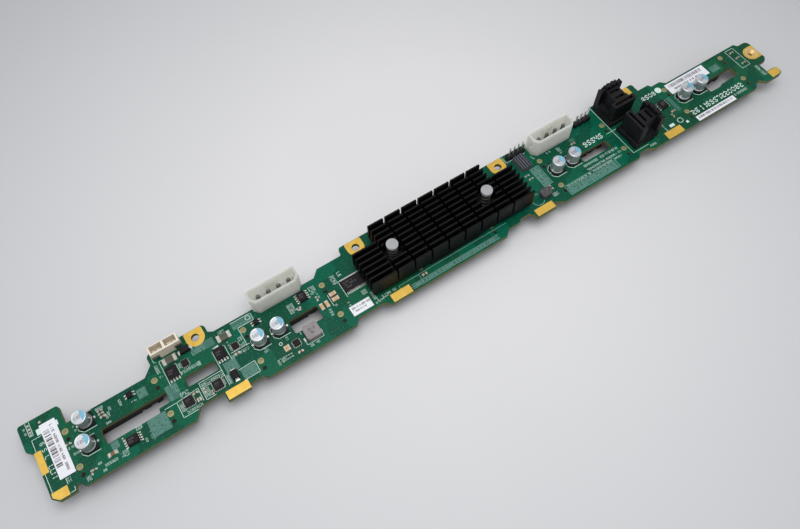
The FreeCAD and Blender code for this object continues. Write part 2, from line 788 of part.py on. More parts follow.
# ---- write every node
save("circuit_board", [circuitBoard()])
save("captive_nut", [captiveNut()])
rowNames = ("upper", "lower")
for column in range(columns):
    number = str(column + 1)
    contacts = []
    for row, rowName in enumerate(rowNames):
        save("drive_socket_" + rowName + "_" + number, [driveSocketHousing(column, row)])
        contacts += driveSocketContacts(column, row)
    save("drive_contacts_" + number, contacts)
save("heat_sink", [heatSink()])
save("expander_chip", [expanderChip()])
save("thermal_pad", [thermalPad()])
for side, name in enumerate(("left", "right")):
    save("push_pin_" + name, [pushPin(side)])
    save("push_pin_spring_" + name, [pushPinSpring(side)])
save("capacitor_cans", [capacitorCan(place) for place in capacitors])
save("capacitor_bases", [capacitorBase(place) for place in capacitors])
powerPinSet = []
for index, header in enumerate(powerHeaders):
    save("power_header_" + str(index + 1), [powerHeaderShell(header)])
    powerPinSet += powerHeaderPins(header)
save("power_header_pins", powerPinSet)
pinSet = []
for index, header in enumerate(pinHeaders):
    save("pin_header_" + str(index + 1), [pinHeaderStrip(header)])
    pinSet += squarePins(headerPinX(header), header[2], pinSide, boardTop, boardTop + pinTall)
save("pin_header_pins", pinSet)
save("signal_header", [signalHeaderShell()])
signalTip = boardTop + signalPinTop
save("signal_header_pins", squarePins(signalPinX(), signalY, signalPinSide, boardTop, signalTip))
for socket, name in zip(cableSockets, ("rear", "front")):
    save("cable_socket_" + name, [cableSocketHousing(socket)])
    save("cable_contacts_" + name, cableSocketContacts(socket))
save("memory_chip", [flatPart(part, chipChamfer) for part in memoryChip])
save("power_chips", [flatPart(part, chipChamfer) for part in powerChips])
save("logic_chips", [flatPart(part, chipChamfer / 2) for part in logicChips])
save("inductors", [inductor(part) for part in inductors])
save("fuses", [flatPart(part, 0) for part in fuses])
save("diodes", [flatPart(part, chipChamfer) for part in diodes])
save("ceramic_capacitors", [flatPart(part, 0) for part in ceramics])
save("ribbed_block", [ribbedPart(ribbedBlock)])
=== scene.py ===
import math
import random

import bmesh
import bpy
from mathutils import Matrix, Vector


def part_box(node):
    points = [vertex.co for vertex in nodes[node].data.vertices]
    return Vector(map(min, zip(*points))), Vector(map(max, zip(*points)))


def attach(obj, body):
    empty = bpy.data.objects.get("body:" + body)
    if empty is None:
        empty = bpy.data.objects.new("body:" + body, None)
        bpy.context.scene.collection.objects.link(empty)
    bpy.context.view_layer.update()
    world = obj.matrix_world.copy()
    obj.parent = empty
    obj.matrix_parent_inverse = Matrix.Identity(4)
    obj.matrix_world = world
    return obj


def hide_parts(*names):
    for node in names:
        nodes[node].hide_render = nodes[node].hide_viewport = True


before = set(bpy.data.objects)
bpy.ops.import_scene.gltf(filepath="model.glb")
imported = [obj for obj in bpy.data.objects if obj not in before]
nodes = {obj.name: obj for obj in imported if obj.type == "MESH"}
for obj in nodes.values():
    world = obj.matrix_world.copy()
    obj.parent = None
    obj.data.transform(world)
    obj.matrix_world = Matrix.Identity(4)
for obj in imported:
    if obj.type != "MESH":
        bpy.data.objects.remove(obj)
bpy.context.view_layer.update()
draw = random.Random(7)  # made-up digits and bars are the same in every run

mm = 0.001  # places and sizes below are in millimetres
boardLow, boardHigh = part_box("circuit_board")
leftEnd = boardLow[0] / mm
rightEnd = boardHigh[0] / mm
bottomEdge = boardLow[1] / mm
topEdge = boardHigh[1] / mm
boardBottom = boardLow[2] / mm
deck = boardHigh[2] / mm


def note(words):
    print("scene:", words, flush=True)


def centreOf(name):
    low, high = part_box(name)
    return [(a + b) / 2 / mm for a, b in zip(low, high)]


def topOf(name):
    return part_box(name)[1][2] / mm


columnX = [centreOf("drive_socket_upper_%d" % (i + 1))[0] for i in range(5)]


def onColumn(column, offset):
    return columnX[column] + offset


def spread(count, pitch):
    return [(i - (count - 1) / 2) * pitch for i in range(count)]  # offsets from the middle of a row


def addNode(tree, kind, inputs=None, **settings):
    made = tree.nodes.new(kind)
    for key, value in settings.items():
        setattr(made, key, value)
    for key, value in (inputs or {}).items():
        socket = made.inputs[key]
        if isinstance(value, bpy.types.NodeSocket):
            tree.links.new(value, socket)
        else:
            socket.default_value = value
    return made


def sums(tree, operation, a, b=0.0):
    return addNode(tree, "ShaderNodeMath", {0: a, 1: b}, operation=operation).outputs[0]


def mixValue(tree, factor, a, b):
    return addNode(tree, "ShaderNodeMix", {0: factor, 2: a, 3: b}, data_type="FLOAT").outputs[0]


def mixColour(tree, factor, a, b):
    ends = [value if isinstance(value, bpy.types.NodeSocket) else (*value, 1) for value in (a, b)]
    return addNode(tree, "ShaderNodeMix", {0: factor, 6: ends[0], 7: ends[1]}, data_type="RGBA").outputs[2]


def ramp(tree, value, low, high, outLow=0.0, outHigh=1.0):
    made = addNode(tree, "ShaderNodeMapRange", {0: value, 1: low, 2: high, 3: outLow, 4: outHigh})
    return made.outputs[0]


def noise(tree, vector, scale, detail=2.0, roughness=0.5):
    inputs = {"Vector": vector, "Scale": scale, "Detail": detail, "Roughness": roughness}
    return addNode(tree, "ShaderNodeTexNoise", inputs).outputs["Fac"]


def objectPlace(tree):
    return addNode(tree, "ShaderNodeTexCoord").outputs["Object"]


def splitPlace(tree, place):
    return addNode(tree, "ShaderNodeSeparateXYZ", {0: place}).outputs


# fine grain and slow blotches, shared by every moulded, plated and printed surface
def grainGroup():
    tree = bpy.data.node_groups.new("surfaceGrain", "ShaderNodeTree")
    for label in ("Fine", "Coarse", "Bump"):
        tree.interface.new_socket(label, in_out="INPUT", socket_type="NodeSocketFloat")
    for label, kind in (("Grain", "Float"), ("Blotch", "Float"), ("Normal", "Vector")):
        tree.interface.new_socket(label, in_out="OUTPUT", socket_type="NodeSocket" + kind)
    source = tree.nodes.new("NodeGroupInput")
    result = tree.nodes.new("NodeGroupOutput")
    place = objectPlace(tree)
    fine = noise(tree, place, source.outputs["Fine"], 3.0, 0.6)
    coarse = noise(tree, place, source.outputs["Coarse"], 3.0, 0.6)
    relief = {"Strength": source.outputs["Bump"], "Distance": 0.0001, "Height": fine}
    bump = addNode(tree, "ShaderNodeBump", relief)
    tree.links.new(fine, result.inputs["Grain"])
    tree.links.new(coarse, result.inputs["Blotch"])
    tree.links.new(bump.outputs[0], result.inputs["Normal"])
    return tree


grain = grainGroup()


def newMaterial(name):
    made = bpy.data.materials.new(name)
    made.use_nodes = True
    tree = made.node_tree
    return made, tree, tree.nodes["Principled BSDF"]


def useGrain(tree, fine, coarse, bump):
    inputs = {"Fine": fine, "Coarse": coarse, "Bump": bump}
    return addNode(tree, "ShaderNodeGroup", inputs, node_tree=grain)


# two close tones mixed by blotches, with grain in the roughness and the normal
def plainFinish(name, dark, light, rough=0.5, metal=0.0, fine=2500.0, coarse=220.0, bump=0.1, specular=0.5,
                soft=0.0, paintedGlow=0.0):
    made, tree, shader = newMaterial(name)
    group = useGrain(tree, fine, coarse, bump)
    tone = mixColour(tree, ramp(tree, group.outputs["Blotch"], 0.3, 0.7), dark, light)
    halfSpread = 0.06
    roughness = ramp(tree, group.outputs["Grain"], 0.3, 0.7, rough - halfSpread, rough + halfSpread)
    tree.links.new(tone, shader.inputs["Base Color"])
    tree.links.new(roughness, shader.inputs["Roughness"])
    tree.links.new(group.outputs["Normal"], shader.inputs["Normal"])
    # emission in the surface's own tone is painted light; it is off unless paintedGlow is set
    tree.links.new(tone, shader.inputs["Emission Color"])
    for socket, value in (("Metallic", metal), ("Specular IOR Level", specular), ("Subsurface Weight", soft),
                          ("Emission Strength", paintedGlow), ("Subsurface Scale", 0.012),
                          ("Subsurface Radius", (1.0, 0.96, 0.86))):
        shader.inputs[socket].default_value = value
    return made


# one moulding in two pairs of tones: the second pair shows where chooseSecond gives 1
def splitFinish(name, first, second, chooseSecond, rough=0.5, coarse=220.0, bump=0.1, specular=0.5):
    made, tree, shader = newMaterial(name)
    group = useGrain(tree, 2500.0, coarse, bump)
    blotch = ramp(tree, group.outputs["Blotch"], 0.3, 0.7)
    pair = [mixColour(tree, blotch, *tones) for tones in (first, second)]
    tone = mixColour(tree, chooseSecond(tree, splitPlace(tree, objectPlace(tree))), *pair)
    tree.links.new(tone, shader.inputs["Base Color"])
    tree.links.new(group.outputs["Normal"], shader.inputs["Normal"])
    shader.inputs["Roughness"].default_value = rough
    shader.inputs["Specular IOR Level"].default_value = specular
    return made


boardLook = {
    "laminate": (0.0, 0.032, 0.018), "warmCopper": (0.004, 0.078, 0.032), "coolCopper": (0.0, 0.090, 0.050),
    "via": (0.03, 0.17, 0.11), "speckle": (0.0, 0.022, 0.014), "darkFibre": (0.10, 0.115, 0.045),
    "lightFibre": (0.19, 0.19, 0.085), "fibreLine": (0.07, 0.05, 0.02),
    "cellsEachMm": 0.11, "trackedShare": 0.62, "tracksEachMm": 1.15, "trackEdge": (0.42, 0.5),
    "viasEachMm": 0.42, "viaEdge": (0.10, 0.13), "viaShare": 0.45, "speckleShare": 0.25, "lineShare": 0.3,
    "specular": 0.14, "faceRough": (0.24, 0.36), "edgeRough": 0.75, "relief": 0.35, "reliefDepth": 0.00004,
}


# solder mask over copper on the faces, bare laminate on the cut edges
def boardMaterial(look):
    made, tree, shader = newMaterial("solderMask")
    scaled = addNode(tree, "ShaderNodeVectorMath", {0: objectPlace(tree), 3: 1 / mm}, operation="SCALE")
    place = scaled.outputs[0]
    x, y, z = splitPlace(tree, place)
    # parallel tracks with jogs: their direction changes from cell to cell, and some cells are solid copper
    cells = addNode(tree, "ShaderNodeTexVoronoi",
                    {"Vector": place, "Scale": look["cellsEachMm"], "Randomness": 0.8},
                    voronoi_dimensions="2D", distance="CHEBYCHEV")
    cellTone = addNode(tree, "ShaderNodeSeparateColor", {0: cells.outputs["Color"]}).outputs
    jogX = sums(tree, "PINGPONG", sums(tree, "ADD", x, 3.0), 5.0)
    jogY = sums(tree, "PINGPONG", sums(tree, "ADD", y, 1.0), 4.0)
    lanes = [sums(tree, "MULTIPLY", sums(tree, "ADD", across, jog), look["tracksEachMm"])
             for across, jog in ((y, jogX), (x, jogY))]
    alongX, alongY = [sums(tree, "FRACT", lane) for lane in lanes]
    track = mixValue(tree, sums(tree, "GREATER_THAN", cellTone[0], 0.45), alongY, alongX)
    tracked = sums(tree, "LESS_THAN", cellTone[1], look["trackedShare"])
    copper = mixValue(tree, tracked, 1.0, ramp(tree, track, *look["trackEdge"]))
    dots = addNode(tree, "ShaderNodeTexVoronoi",
                   {"Vector": place, "Scale": look["viasEachMm"], "Randomness": 0.85},
                   voronoi_dimensions="2D")
    via = ramp(tree, dots.outputs["Distance"], *look["viaEdge"], 1.0, 0.0)
    slow = noise(tree, place, 0.035)
    fine = noise(tree, place, 3.0, 3.0)
    overCopper = mixColour(tree, ramp(tree, slow, 0.35, 0.65), look["warmCopper"], look["coolCopper"])
    face = mixColour(tree, copper, look["laminate"], overCopper)
    face = mixColour(tree, sums(tree, "MULTIPLY", via, look["viaShare"]), face, look["via"])
    speckles = sums(tree, "MULTIPLY", ramp(tree, fine, 0.35, 0.75), look["speckleShare"])
    face = mixColour(tree, speckles, face, look["speckle"])
    # cut edges: layered glass fibre
    normal = addNode(tree, "ShaderNodeNewGeometry").outputs["Normal"]
    isFace = sums(tree, "GREATER_THAN", sums(tree, "ABSOLUTE", splitPlace(tree, normal)[2]), 0.5)
    layers = sums(tree, "PINGPONG", sums(tree, "MULTIPLY", z, 5.0), 1.0)
    stretched = addNode(tree, "ShaderNodeMapping", {"Vector": place, "Scale": (1.0, 1.0, 6.0)}).outputs[0]
    fibre = noise(tree, stretched, 2.2, 3.0)
    edge = mixColour(tree, ramp(tree, fibre, 0.35, 0.65), look["darkFibre"], look["lightFibre"])
    edge = mixColour(tree, sums(tree, "MULTIPLY", layers, look["lineShare"]), edge, look["fibreLine"])
    tree.links.new(mixColour(tree, isFace, edge, face), shader.inputs["Base Color"])
    faceRough = ramp(tree, fine, 0.3, 0.7, *look["faceRough"])
    tree.links.new(mixValue(tree, isFace, look["edgeRough"], faceRough), shader.inputs["Roughness"])
    shader.inputs["Specular IOR Level"].default_value = look["specular"]
    height = sums(tree, "ADD", sums(tree, "MULTIPLY", copper, 0.6), sums(tree, "MULTIPLY", fine, 0.25))
    relief = {"Strength": look["relief"], "Distance": look["reliefDepth"], "Height": height}
    tree.links.new(addNode(tree, "ShaderNodeBump", relief).outputs[0], shader.inputs["Normal"])
    return made


def pinHeads(tree, place):
    neck = (topOf("push_pin_left") - 1.3) * mm
    return ramp(tree, place[2], neck - 3 * mm, neck)


# painted shade on the signal header's front at its lower corners: it covers the two steps cut there and the
# face above them
def headerStepShade(tree, place):
    middle = centreOf("signal_header")
    aside = sums(tree, "ABSOLUTE", sums(tree, "SUBTRACT", place[0], middle[0] * mm))
    corner = sums(tree, "GREATER_THAN", aside, 3.4 * mm)
    low = sums(tree, "LESS_THAN", place[2], (deck + 3.9) * mm)
    front = sums(tree, "LESS_THAN", place[1], (middle[1] - 1.2) * mm)
    return sums(tree, "MULTIPLY", sums(tree, "MULTIPLY", corner, low), front)


def rightHalf(tree, place):
    return sums(tree, "GREATER_THAN", place[0], 0.0)


note("materials")
finishLook = {
    "blackPlastic": {"dark": (0.003, 0.003, 0.004), "light": (0.007, 0.007, 0.0085), "bump": 0.25,
                     "specular": 0.22},
    "anodised": {"dark": (0.001, 0.001, 0.0013), "light": (0.0025, 0.0025, 0.003), "bump": 0.2,
                 "specular": 0.12},
    "chipResin": {"dark": (0.006, 0.005, 0.0065), "light": (0.012, 0.0095, 0.012), "rough": 0.55, "bump": 0.3,
                  "specular": 0.14},
    "goldPlate": {"dark": (0.58, 0.36, 0.05), "light": (0.70, 0.45, 0.08), "rough": 0.38, "metal": 0.45,
                  "coarse": 400.0},
    "dimGold": {"dark": (0.06, 0.042, 0.018), "light": (0.12, 0.08, 0.03), "rough": 0.45, "metal": 0.5,
                "coarse": 400.0},
    "dullSolder": {"dark": (0.10, 0.12, 0.07), "light": (0.26, 0.26, 0.16), "metal": 0.3, "coarse": 2200.0},
    "ringGold": {"dark": (0.30, 0.22, 0.06), "light": (0.42, 0.33, 0.12), "rough": 0.45, "metal": 0.4,
                 "coarse": 900.0},
    "tin": {"dark": (0.62, 0.61, 0.57), "light": (0.8, 0.79, 0.76), "rough": 0.28, "metal": 0.9,
            "coarse": 900.0},
    "endMetal": {"dark": (0.36, 0.34, 0.29), "light": (0.52, 0.50, 0.45), "rough": 0.4, "metal": 0.5,
                 "coarse": 900.0},
    "springWire": {"dark": (0.05, 0.05, 0.045), "light": (0.1, 0.1, 0.09), "rough": 0.4, "metal": 0.7},
    # power header pins: tin darkened into painted shade, as they stand in the header's hollow
    "shadedTubePin": {"dark": (0.10, 0.10, 0.10), "light": (0.2, 0.2, 0.19), "rough": 0.4, "metal": 0.6},
    "canMetal": {"dark": (0.52, 0.54, 0.56), "light": (0.64, 0.66, 0.68), "rough": 0.34, "metal": 0.75},
    # the power header glows a little: painted light that brightens its hollow
    "ivory": {"dark": (0.30, 0.305, 0.28), "light": (0.35, 0.355, 0.325), "coarse": 60.0,
              "soft": 1.0, "specular": 0.15, "paintedGlow": 0.32},
    "nutPlate": {"dark": (0.62, 0.42, 0.16), "light": (0.74, 0.54, 0.26), "metal": 0.6},
    "greyPad": {"dark": (0.3, 0.3, 0.32), "light": (0.36, 0.36, 0.38), "rough": 0.8},
    "fuseBody": {"dark": (0.035, 0.045, 0.03), "light": (0.07, 0.07, 0.045)},
    "tanCeramic": {"dark": (0.38, 0.22, 0.1), "light": (0.5, 0.32, 0.17)},
    "greyPlastic": {"dark": (0.06, 0.06, 0.07), "light": (0.09, 0.09, 0.105)},
    "passiveBody": {"dark": (0.10, 0.055, 0.03), "light": (0.2, 0.12, 0.07), "rough": 0.55},
    "paleRib": {"dark": (0.20, 0.20, 0.25), "light": (0.30, 0.30, 0.36)},
    "labelPaper": {"dark": (0.62, 0.625, 0.66), "light": (0.68, 0.685, 0.72), "coarse": 600.0},
    "labelInk": {"dark": (0.05, 0.045, 0.055), "light": (0.10, 0.09, 0.10), "rough": 0.6},
    "silkInk": {"dark": (0.44, 0.58, 0.52), "light": (0.60, 0.72, 0.66), "rough": 0.6, "coarse": 3000.0},
    "tableInk": {"dark": (0.10, 0.25, 0.21), "light": (0.19, 0.36, 0.31), "rough": 0.6, "coarse": 3000.0},
    "dimInk": {"dark": (0.008, 0.085, 0.055), "light": (0.035, 0.13, 0.10), "rough": 0.6, "coarse": 1800.0},
    "blueInk": {"dark": (0.10, 0.32, 0.46), "light": (0.16, 0.40, 0.54), "rough": 0.4},
    "chipInk": {"dark": (0.07, 0.068, 0.07), "light": (0.12, 0.115, 0.12), "rough": 0.6},
}
splitLook = {
    "nylon": {"first": ((0.03, 0.03, 0.03), (0.05, 0.05, 0.05)),
              "second": ((0.26, 0.26, 0.27), (0.31, 0.31, 0.32)),
              "chooseSecond": pinHeads, "specular": 0.3},
    # signal header: its second pair of tones is painted shade over the lower front corners
    "cream": {"first": ((0.60, 0.53, 0.42), (0.68, 0.61, 0.50)),
              "second": ((0.17, 0.14, 0.105), (0.24, 0.20, 0.16)),
              "chooseSecond": headerStepShade},
    "ferrite": {"first": ((0.17, 0.15, 0.155), (0.23, 0.20, 0.21)),
                "second": ((0.028, 0.028, 0.034), (0.05, 0.05, 0.058)),
                "chooseSecond": rightHalf, "rough": 0.6, "coarse": 300.0, "bump": 0.15},
}
finishes = {name: plainFinish(name, **look) for name, look in finishLook.items()}
finishes.update({name: splitFinish(name, **look) for name, look in splitLook.items()})
finishes["solderMask"] = boardMaterial(boardLook)

# a CAD node takes the finish of the longest name here that its own name starts with
cadFinish = {
    "circuit_board": "solderMask", "captive_nut": "nutPlate", "drive_socket": "blackPlastic",
    "drive_contacts": "goldPlate", "heat_sink": "anodised", "expander_chip": "chipResin",
    "thermal_pad": "greyPad", "push_pin": "nylon", "push_pin_spring": "springWire",
    "capacitor_cans": "canMetal", "capacitor_bases": "blackPlastic", "power_header": "ivory",
    "power_header_pins": "shadedTubePin", "pin_header": "blackPlastic", "pin_header_pins": "tin",
    "signal_header": "cream", "signal_header_pins": "tin", "cable_socket": "blackPlastic",
    "cable_contacts": "dimGold", "memory_chip": "chipResin", "power_chips": "chipResin",
    "logic_chips": "chipResin", "inductors": "ferrite", "fuses": "fuseBody", "diodes": "chipResin",
    "ceramic_capacitors": "tanCeramic", "ribbed_block": "greyPlastic",
}
for name, shape in nodes.items():
    key = max((start for start in cadFinish if name.startswith(start)), key=len)
    shape.data.materials.clear()
    shape.data.materials.append(finishes[cadFinish[key]])


def newPiece():
    mesh = bmesh.new()
    mesh.faces.layers.float.new("thick")
    return mesh


# walls from an outline's edges to their copies, which move by the shift
def growEdges(mesh, edges, shift=(0, 0, 0)):
    grown = bmesh.ops.extrude_edge_only(mesh, edges=edges)["geom"]
    verts = [part for part in grown if isinstance(part, bmesh.types.BMVert)]
    bmesh.ops.translate(mesh, verts=verts, vec=shift)
    return verts, [part for part in grown if isinstance(part, bmesh.types.BMEdge)]


# flat top face; growPlates gives it walls down to the low level, and it has no underside
def addPlate(mesh, points, low, high):
    face = mesh.faces.new([mesh.verts.new((x * mm, y * mm, high * mm)) for x, y in points])
    face[mesh.faces.layers.float["thick"]] = high - low


def growPlates(mesh):
    thick = mesh.faces.layers.float["thick"]
    for size in sorted({face[thick] for face in mesh.faces} - {0.0}):
        edges = [edge for face in mesh.faces if face[thick] == size for edge in face.edges]
        growEdges(mesh, edges, (0, 0, -size * mm))
    mesh.faces.layers.float.remove(thick)


def addPatch(mesh, x0, y0, x1, y1, low, high):
    addPlate(mesh, [(x0, y0), (x1, y0), (x1, y1), (x0, y1)], low, high)


def addBlock(mesh, x, y, length, width, low, high):
    addPatch(mesh, x - length / 2, y - width / 2, x + length / 2, y + width / 2, low, high)


def circle(x, y, radius, count=24, start=0.0, sweep=360.0):
    steps = count if sweep >= 360.0 else count + 1
    angles = [math.radians(start + sweep * i / count) for i in range(steps)]
    return [(x + radius * math.cos(a), y + radius * math.sin(a)) for a in angles]


# open turned shape from the radius and height of each of its steps
def addTurned(mesh, x, y, profile, count):
    verts = [mesh.verts.new(((x + radius) * mm, y * mm, z * mm)) for radius, z in profile]
    edges = [mesh.edges.new(pair) for pair in zip(verts[:-1], verts[1:])]
    bmesh.ops.spin(mesh, geom=verts + edges, cent=(x * mm, y * mm, 0), axis=(0, 0, 1), angle=2 * math.pi,
                   steps=count, use_merge=True)


# flat ring with both walls
def addRing(mesh, x, y, inner, outer, low, high, count=24):
    addTurned(mesh, x, y, ((outer, low), (outer, high), (inner, high), (inner, low)), count)


# faces across the open ends of turned shapes, apart from the ends that stand on the seat's level
def closeEnds(mesh, seat=0.0):
    edges = [edge for edge in mesh.edges if edge.is_boundary and abs(edge.verts[0].co.z / mm - seat) > 0.01]
    bmesh.ops.edgeloop_fill(mesh, edges=edges)


def finishPiece(name, mesh, finish, bevel=0.0):
    growPlates(mesh)
    bmesh.ops.recalc_face_normals(mesh, faces=mesh.faces)
    data = bpy.data.meshes.new(name)
    mesh.to_mesh(data)
    mesh.free()
    data.materials.append(finishes[finish])
    shown = bpy.data.objects.new(name, data)
    bpy.context.scene.collection.objects.link(shown)
    if bevel:
        rounding = shown.modifiers.new("rounding", "BEVEL")
        rounding.width = bevel * mm
        rounding.segments = 2
        rounding.limit_method = "ANGLE"
    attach(shown, "root")
    return shown


# bare plated copper: edge pads, screw pads and the nut's pad
note("pads")
padLook = {
    "thick": 0.035, "screwPitch": 82.4, "screwRowY": 15.0, "screwPadHalf": 4.25, "screwHole": 1.85,
    "nutPadHalf": 4.3, "nutHole": 2.6, "edgeGap": 0.1, "holeSides": 48, "tabLeft": 196.6, "tabRadius": 2.4,
}
copperHigh = deck + padLook["thick"]
pads = newPiece()
edgePads = [
    (leftEnd + 2.65, -5.7, leftEnd + 5.55, 4.7), (-123.4, -18.7, -112.9, -14.6), (-41.0, -18.8, -30.9, -14.7),
    (40.5, -18.7, 51.0, -14.8), (123.3, -18.9, 133.8, -14.7),
]
for patch in edgePads:
    addPatch(pads, *patch, deck, copperHigh)
lowerEdge = bottomEdge + 0.45
cornerPad = [(-197.9, lowerEdge), (-193.6, lowerEdge), (-193.6, -14.4), (-200.2, -14.4), (-200.2, -16.4)]
addPlate(pads, cornerPad, deck, copperHigh)
padRight = rightEnd - padLook["edgeGap"]
tabRadius = padLook["tabRadius"]
tabPad = circle(padRight - tabRadius, lowerEdge + tabRadius, tabRadius, 10, -90.0, 90.0)
addPlate(pads, [(padLook["tabLeft"], lowerEdge)] + tabPad + [(padRight, -14.1), (padLook["tabLeft"], -14.1)],
         deck, copperHigh)


# pad with a round hole: the hole's edge is grown out to the outline, then both edges down to the board
def addHoledPad(mesh, x, y, hole, outline):
    middle = Matrix.Translation((x * mm, y * mm, copperHigh * mm))
    rim = bmesh.ops.create_circle(mesh, segments=padLook["holeSides"], radius=hole * mm,
                                  matrix=middle)["verts"]
    holeEdges = list({edge for vert in rim for edge in vert.link_edges})
    verts, outerEdges = growEdges(mesh, holeEdges)
    for vert in verts:
        dx, dy = (vert.co.x / mm - x) / hole, (vert.co.y / mm - y) / hole
        vert.co.xy = [value * mm for value in outline(x, y, dx, dy)]
    for edges in (holeEdges, outerEdges):
        growEdges(mesh, edges, (0, 0, -padLook["thick"] * mm))


# round below, straight at the sides and at the board's upper edge
def screwOutline(x, y, dx, dy):
    half = padLook["screwPadHalf"]
    top = topEdge - padLook["edgeGap"] - y
    reach = half if dy <= 0 else min(half / max(abs(dx), 1e-6), top / max(dy, 1e-6))
    return x + reach * dx, y + reach * dy


# round on the left, straight at the board's end
def nutOutline(x, y, dx, dy):
    half = padLook["nutPadHalf"]
    reach = half if dx <= 0 else min((padRight - x) / max(dx, 1e-6), half / max(abs(dy), 1e-6))
    return x + reach * dx, y + reach * dy


for x in spread(4, padLook["screwPitch"]):
    addHoledPad(pads, x, padLook["screwRowY"], padLook["screwHole"], screwOutline)
nutX, nutY, _ = centreOf("captive_nut")
addHoledPad(pads, nutX, nutY, padLook["nutHole"], nutOutline)
finishPiece("gold_pads", pads, "goldPlate")

# plated rings filled with solder, at both ends of each drive socket
socketPins = {
    "inset": 2.3, "rowPitch": 17.0, "aside": 20.0, "holeRadius": 1.02, "ringRadius": 1.36,
    "dome": ((1.02, 0.0), (0.9, 0.1), (0.55, 0.2)), "domeSides": 20,
}
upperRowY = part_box("drive_socket_upper_1")[1][1] / mm - socketPins["inset"]
rings = newPiece()
domes = newPiece()
domeProfile = [(radius, deck + rise) for radius, rise in socketPins["dome"]]
for x in columnX:
    for side in (-socketPins["aside"], socketPins["aside"]):
        for y in (upperRowY, upperRowY - socketPins["rowPitch"]):
            addRing(rings, x + side, y, socketPins["holeRadius"], socketPins["ringRadius"], deck, copperHigh)
            addTurned(domes, x + side, y, domeProfile, socketPins["domeSides"])
closeEnds(domes, deck)
finishPiece("retention_rings", rings, "ringGold")
finishPiece("retention_solder", domes, "dullSolder")

note("labels")
labelLook = {
    "thick": 0.1, "inkThick": 0.012, "bevel": 0.04, "inkWeight": 0.2,
    "places": ((-195.2, -11.2, -188.5, 14.8), (-59.7, -14.9, -49.4, -9.9), (144.7, 2.0, 171.0, 8.7),
               (144.0, -18.7, 169.9, -15.6)),
    # corners, whether the bars climb the board, thinnest bar
    "bars": ((-194.6, -6.1, -192.0, 12.2, True, 0.26), (146.0, 5.7, 168.6, 7.8, False, 0.16),
             (145.2, -17.6, 168.8, -16.3, False, 0.2)),
    # digits, x and y of their start, height, turn
    "numbers": (("204 31 7", -190.2, 5.6, 1.1, 90.0), ("5083 1264 0917 36", -190.2, -9.0, 1.0, 90.0),
                ("30-41-20-53", -58.9, -11.9, 1.0, 0.0), ("808-61-42", -57.9, -13.4, 0.75, 0.0),
                ("160325 7004 218 39 5", 147.5, 3.6, 1.1, 0.0)),
}
labels = newPiece()
labelHigh = deck + labelLook["thick"]
for patch in labelLook["places"]:
    addPatch(labels, *patch, deck, labelHigh)
finishPiece("labels", labels, "labelPaper", labelLook["bevel"])


# plain seven-stroke digits: the ends of each stroke in a unit cell, and the strokes of each digit
strokeEnds = {
    "a": (0, 1, 1, 1), "b": (1, 0.5, 1, 1), "c": (1, 0, 1, 0.5), "d": (0, 0, 1, 0), "e": (0, 0, 0, 0.5),
    "f": (0, 0.5, 0, 1), "g": (0, 0.5, 1, 0.5),
}
digitStrokes = {
    "0": "abcdef", "1": "bc", "2": "abged", "3": "abgcd", "4": "fgbc", "5": "afgcd", "6": "afgedc",
    "7": "abc", "8": "abcdefg", "9": "abcdfg", "-": "g", " ": "",
}
# a digit's width, the next digit's start and the next row, as shares of its height
digitWidth = 0.52
digitPitch = 0.85
digitRow = 1.25
silkLevels = (deck + 0.004, deck + 0.02)
inkLevels = (labelHigh, labelHigh + labelLook["inkThick"])


# flat bar from one point to the other, with square ends past both
def addStroke(mesh, x0, y0, x1, y1, width, levels=silkLevels):
    reach = math.hypot(x1 - x0, y1 - y0) or 1.0
    dx, dy = (x1 - x0) / reach * width / 2, (y1 - y0) / reach * width / 2
    addPlate(mesh, [(x0 - dx + dy, y0 - dy - dx), (x1 + dx + dy, y1 + dy - dx),
                    (x1 + dx - dy, y1 + dy + dx), (x0 - dx - dy, y0 - dy + dx)], *levels)


# row of digits from its lower left corner, read along the turned line
def addNumber(mesh, words, x, y, high, turn=0.0, levels=silkLevels, weight=0.14):
    cosine, sine = math.cos(math.radians(turn)), math.sin(math.radians(turn))
    thick = high * weight
    for i, letter in enumerate(words):
        start = i * high * digitPitch + thick / 2
        for key in digitStrokes[letter]:
            x0, y0, x1, y1 = strokeEnds[key]
            ends = []
            for u, v in ((x0, y0), (x1, y1)):
                along, across = start + u * high * digitWidth, v * (high - thick) + thick / 2
                ends += [x + along * cosine - across * sine, y + along * sine + across * cosine]
            addStroke(mesh, *ends, thick, levels)


# random bars across a strip
def addBars(mesh, x0, y0, x1, y1, upright, thinnest):
    at, end = (y0, y1) if upright else (x0, x1)
    while at < end - thinnest:
        stop = min(at + thinnest * draw.choice((1, 1, 2, 3)), end)
        corners = (x0, at, x1, stop) if upright else (at, y0, stop, y1)
        addPatch(mesh, *corners, *inkLevels)
        at = stop + thinnest * draw.choice((1, 2, 3))


printed = newPiece()
for strip in labelLook["bars"]:
    addBars(printed, *strip)
for number in labelLook["numbers"]:
    addNumber(printed, *number, inkLevels, labelLook["inkWeight"])
finishPiece("label_print", printed, "labelInk")

note("silk")
silkLook = {"line": 0.2, "canLine": 0.26, "largeFrom": 2.4, "largeWeight": 0.19, "smallWeight": 0.13}


# rows of made-up numbers inside a rectangle; upright rows read up the board
def fillNumbers(mesh, x0, y0, x1, y1, high, upright):
    run, stack = (y1 - y0, x1 - x0) if upright else (x1 - x0, y1 - y0)
    rows = max(1, round(stack / (high * digitRow)))
    weight = silkLook["largeWeight" if high > silkLook["largeFrom"] else "smallWeight"]
    letters = max(1, int(run / (high * digitPitch)))
    choices = "0123456789 " if letters > 2 else "0123456789"
    for row in range(rows):
        words = "".join(draw.choice(choices) for _ in range(letters))
        at = (row + 0.5) * stack / rows
        place = (x0 + at + high / 2, y0, high, 90.0) if upright else (x0, y0 + at - high / 2, high, 0.0)
        addNumber(mesh, words, *place, silkLevels, weight)


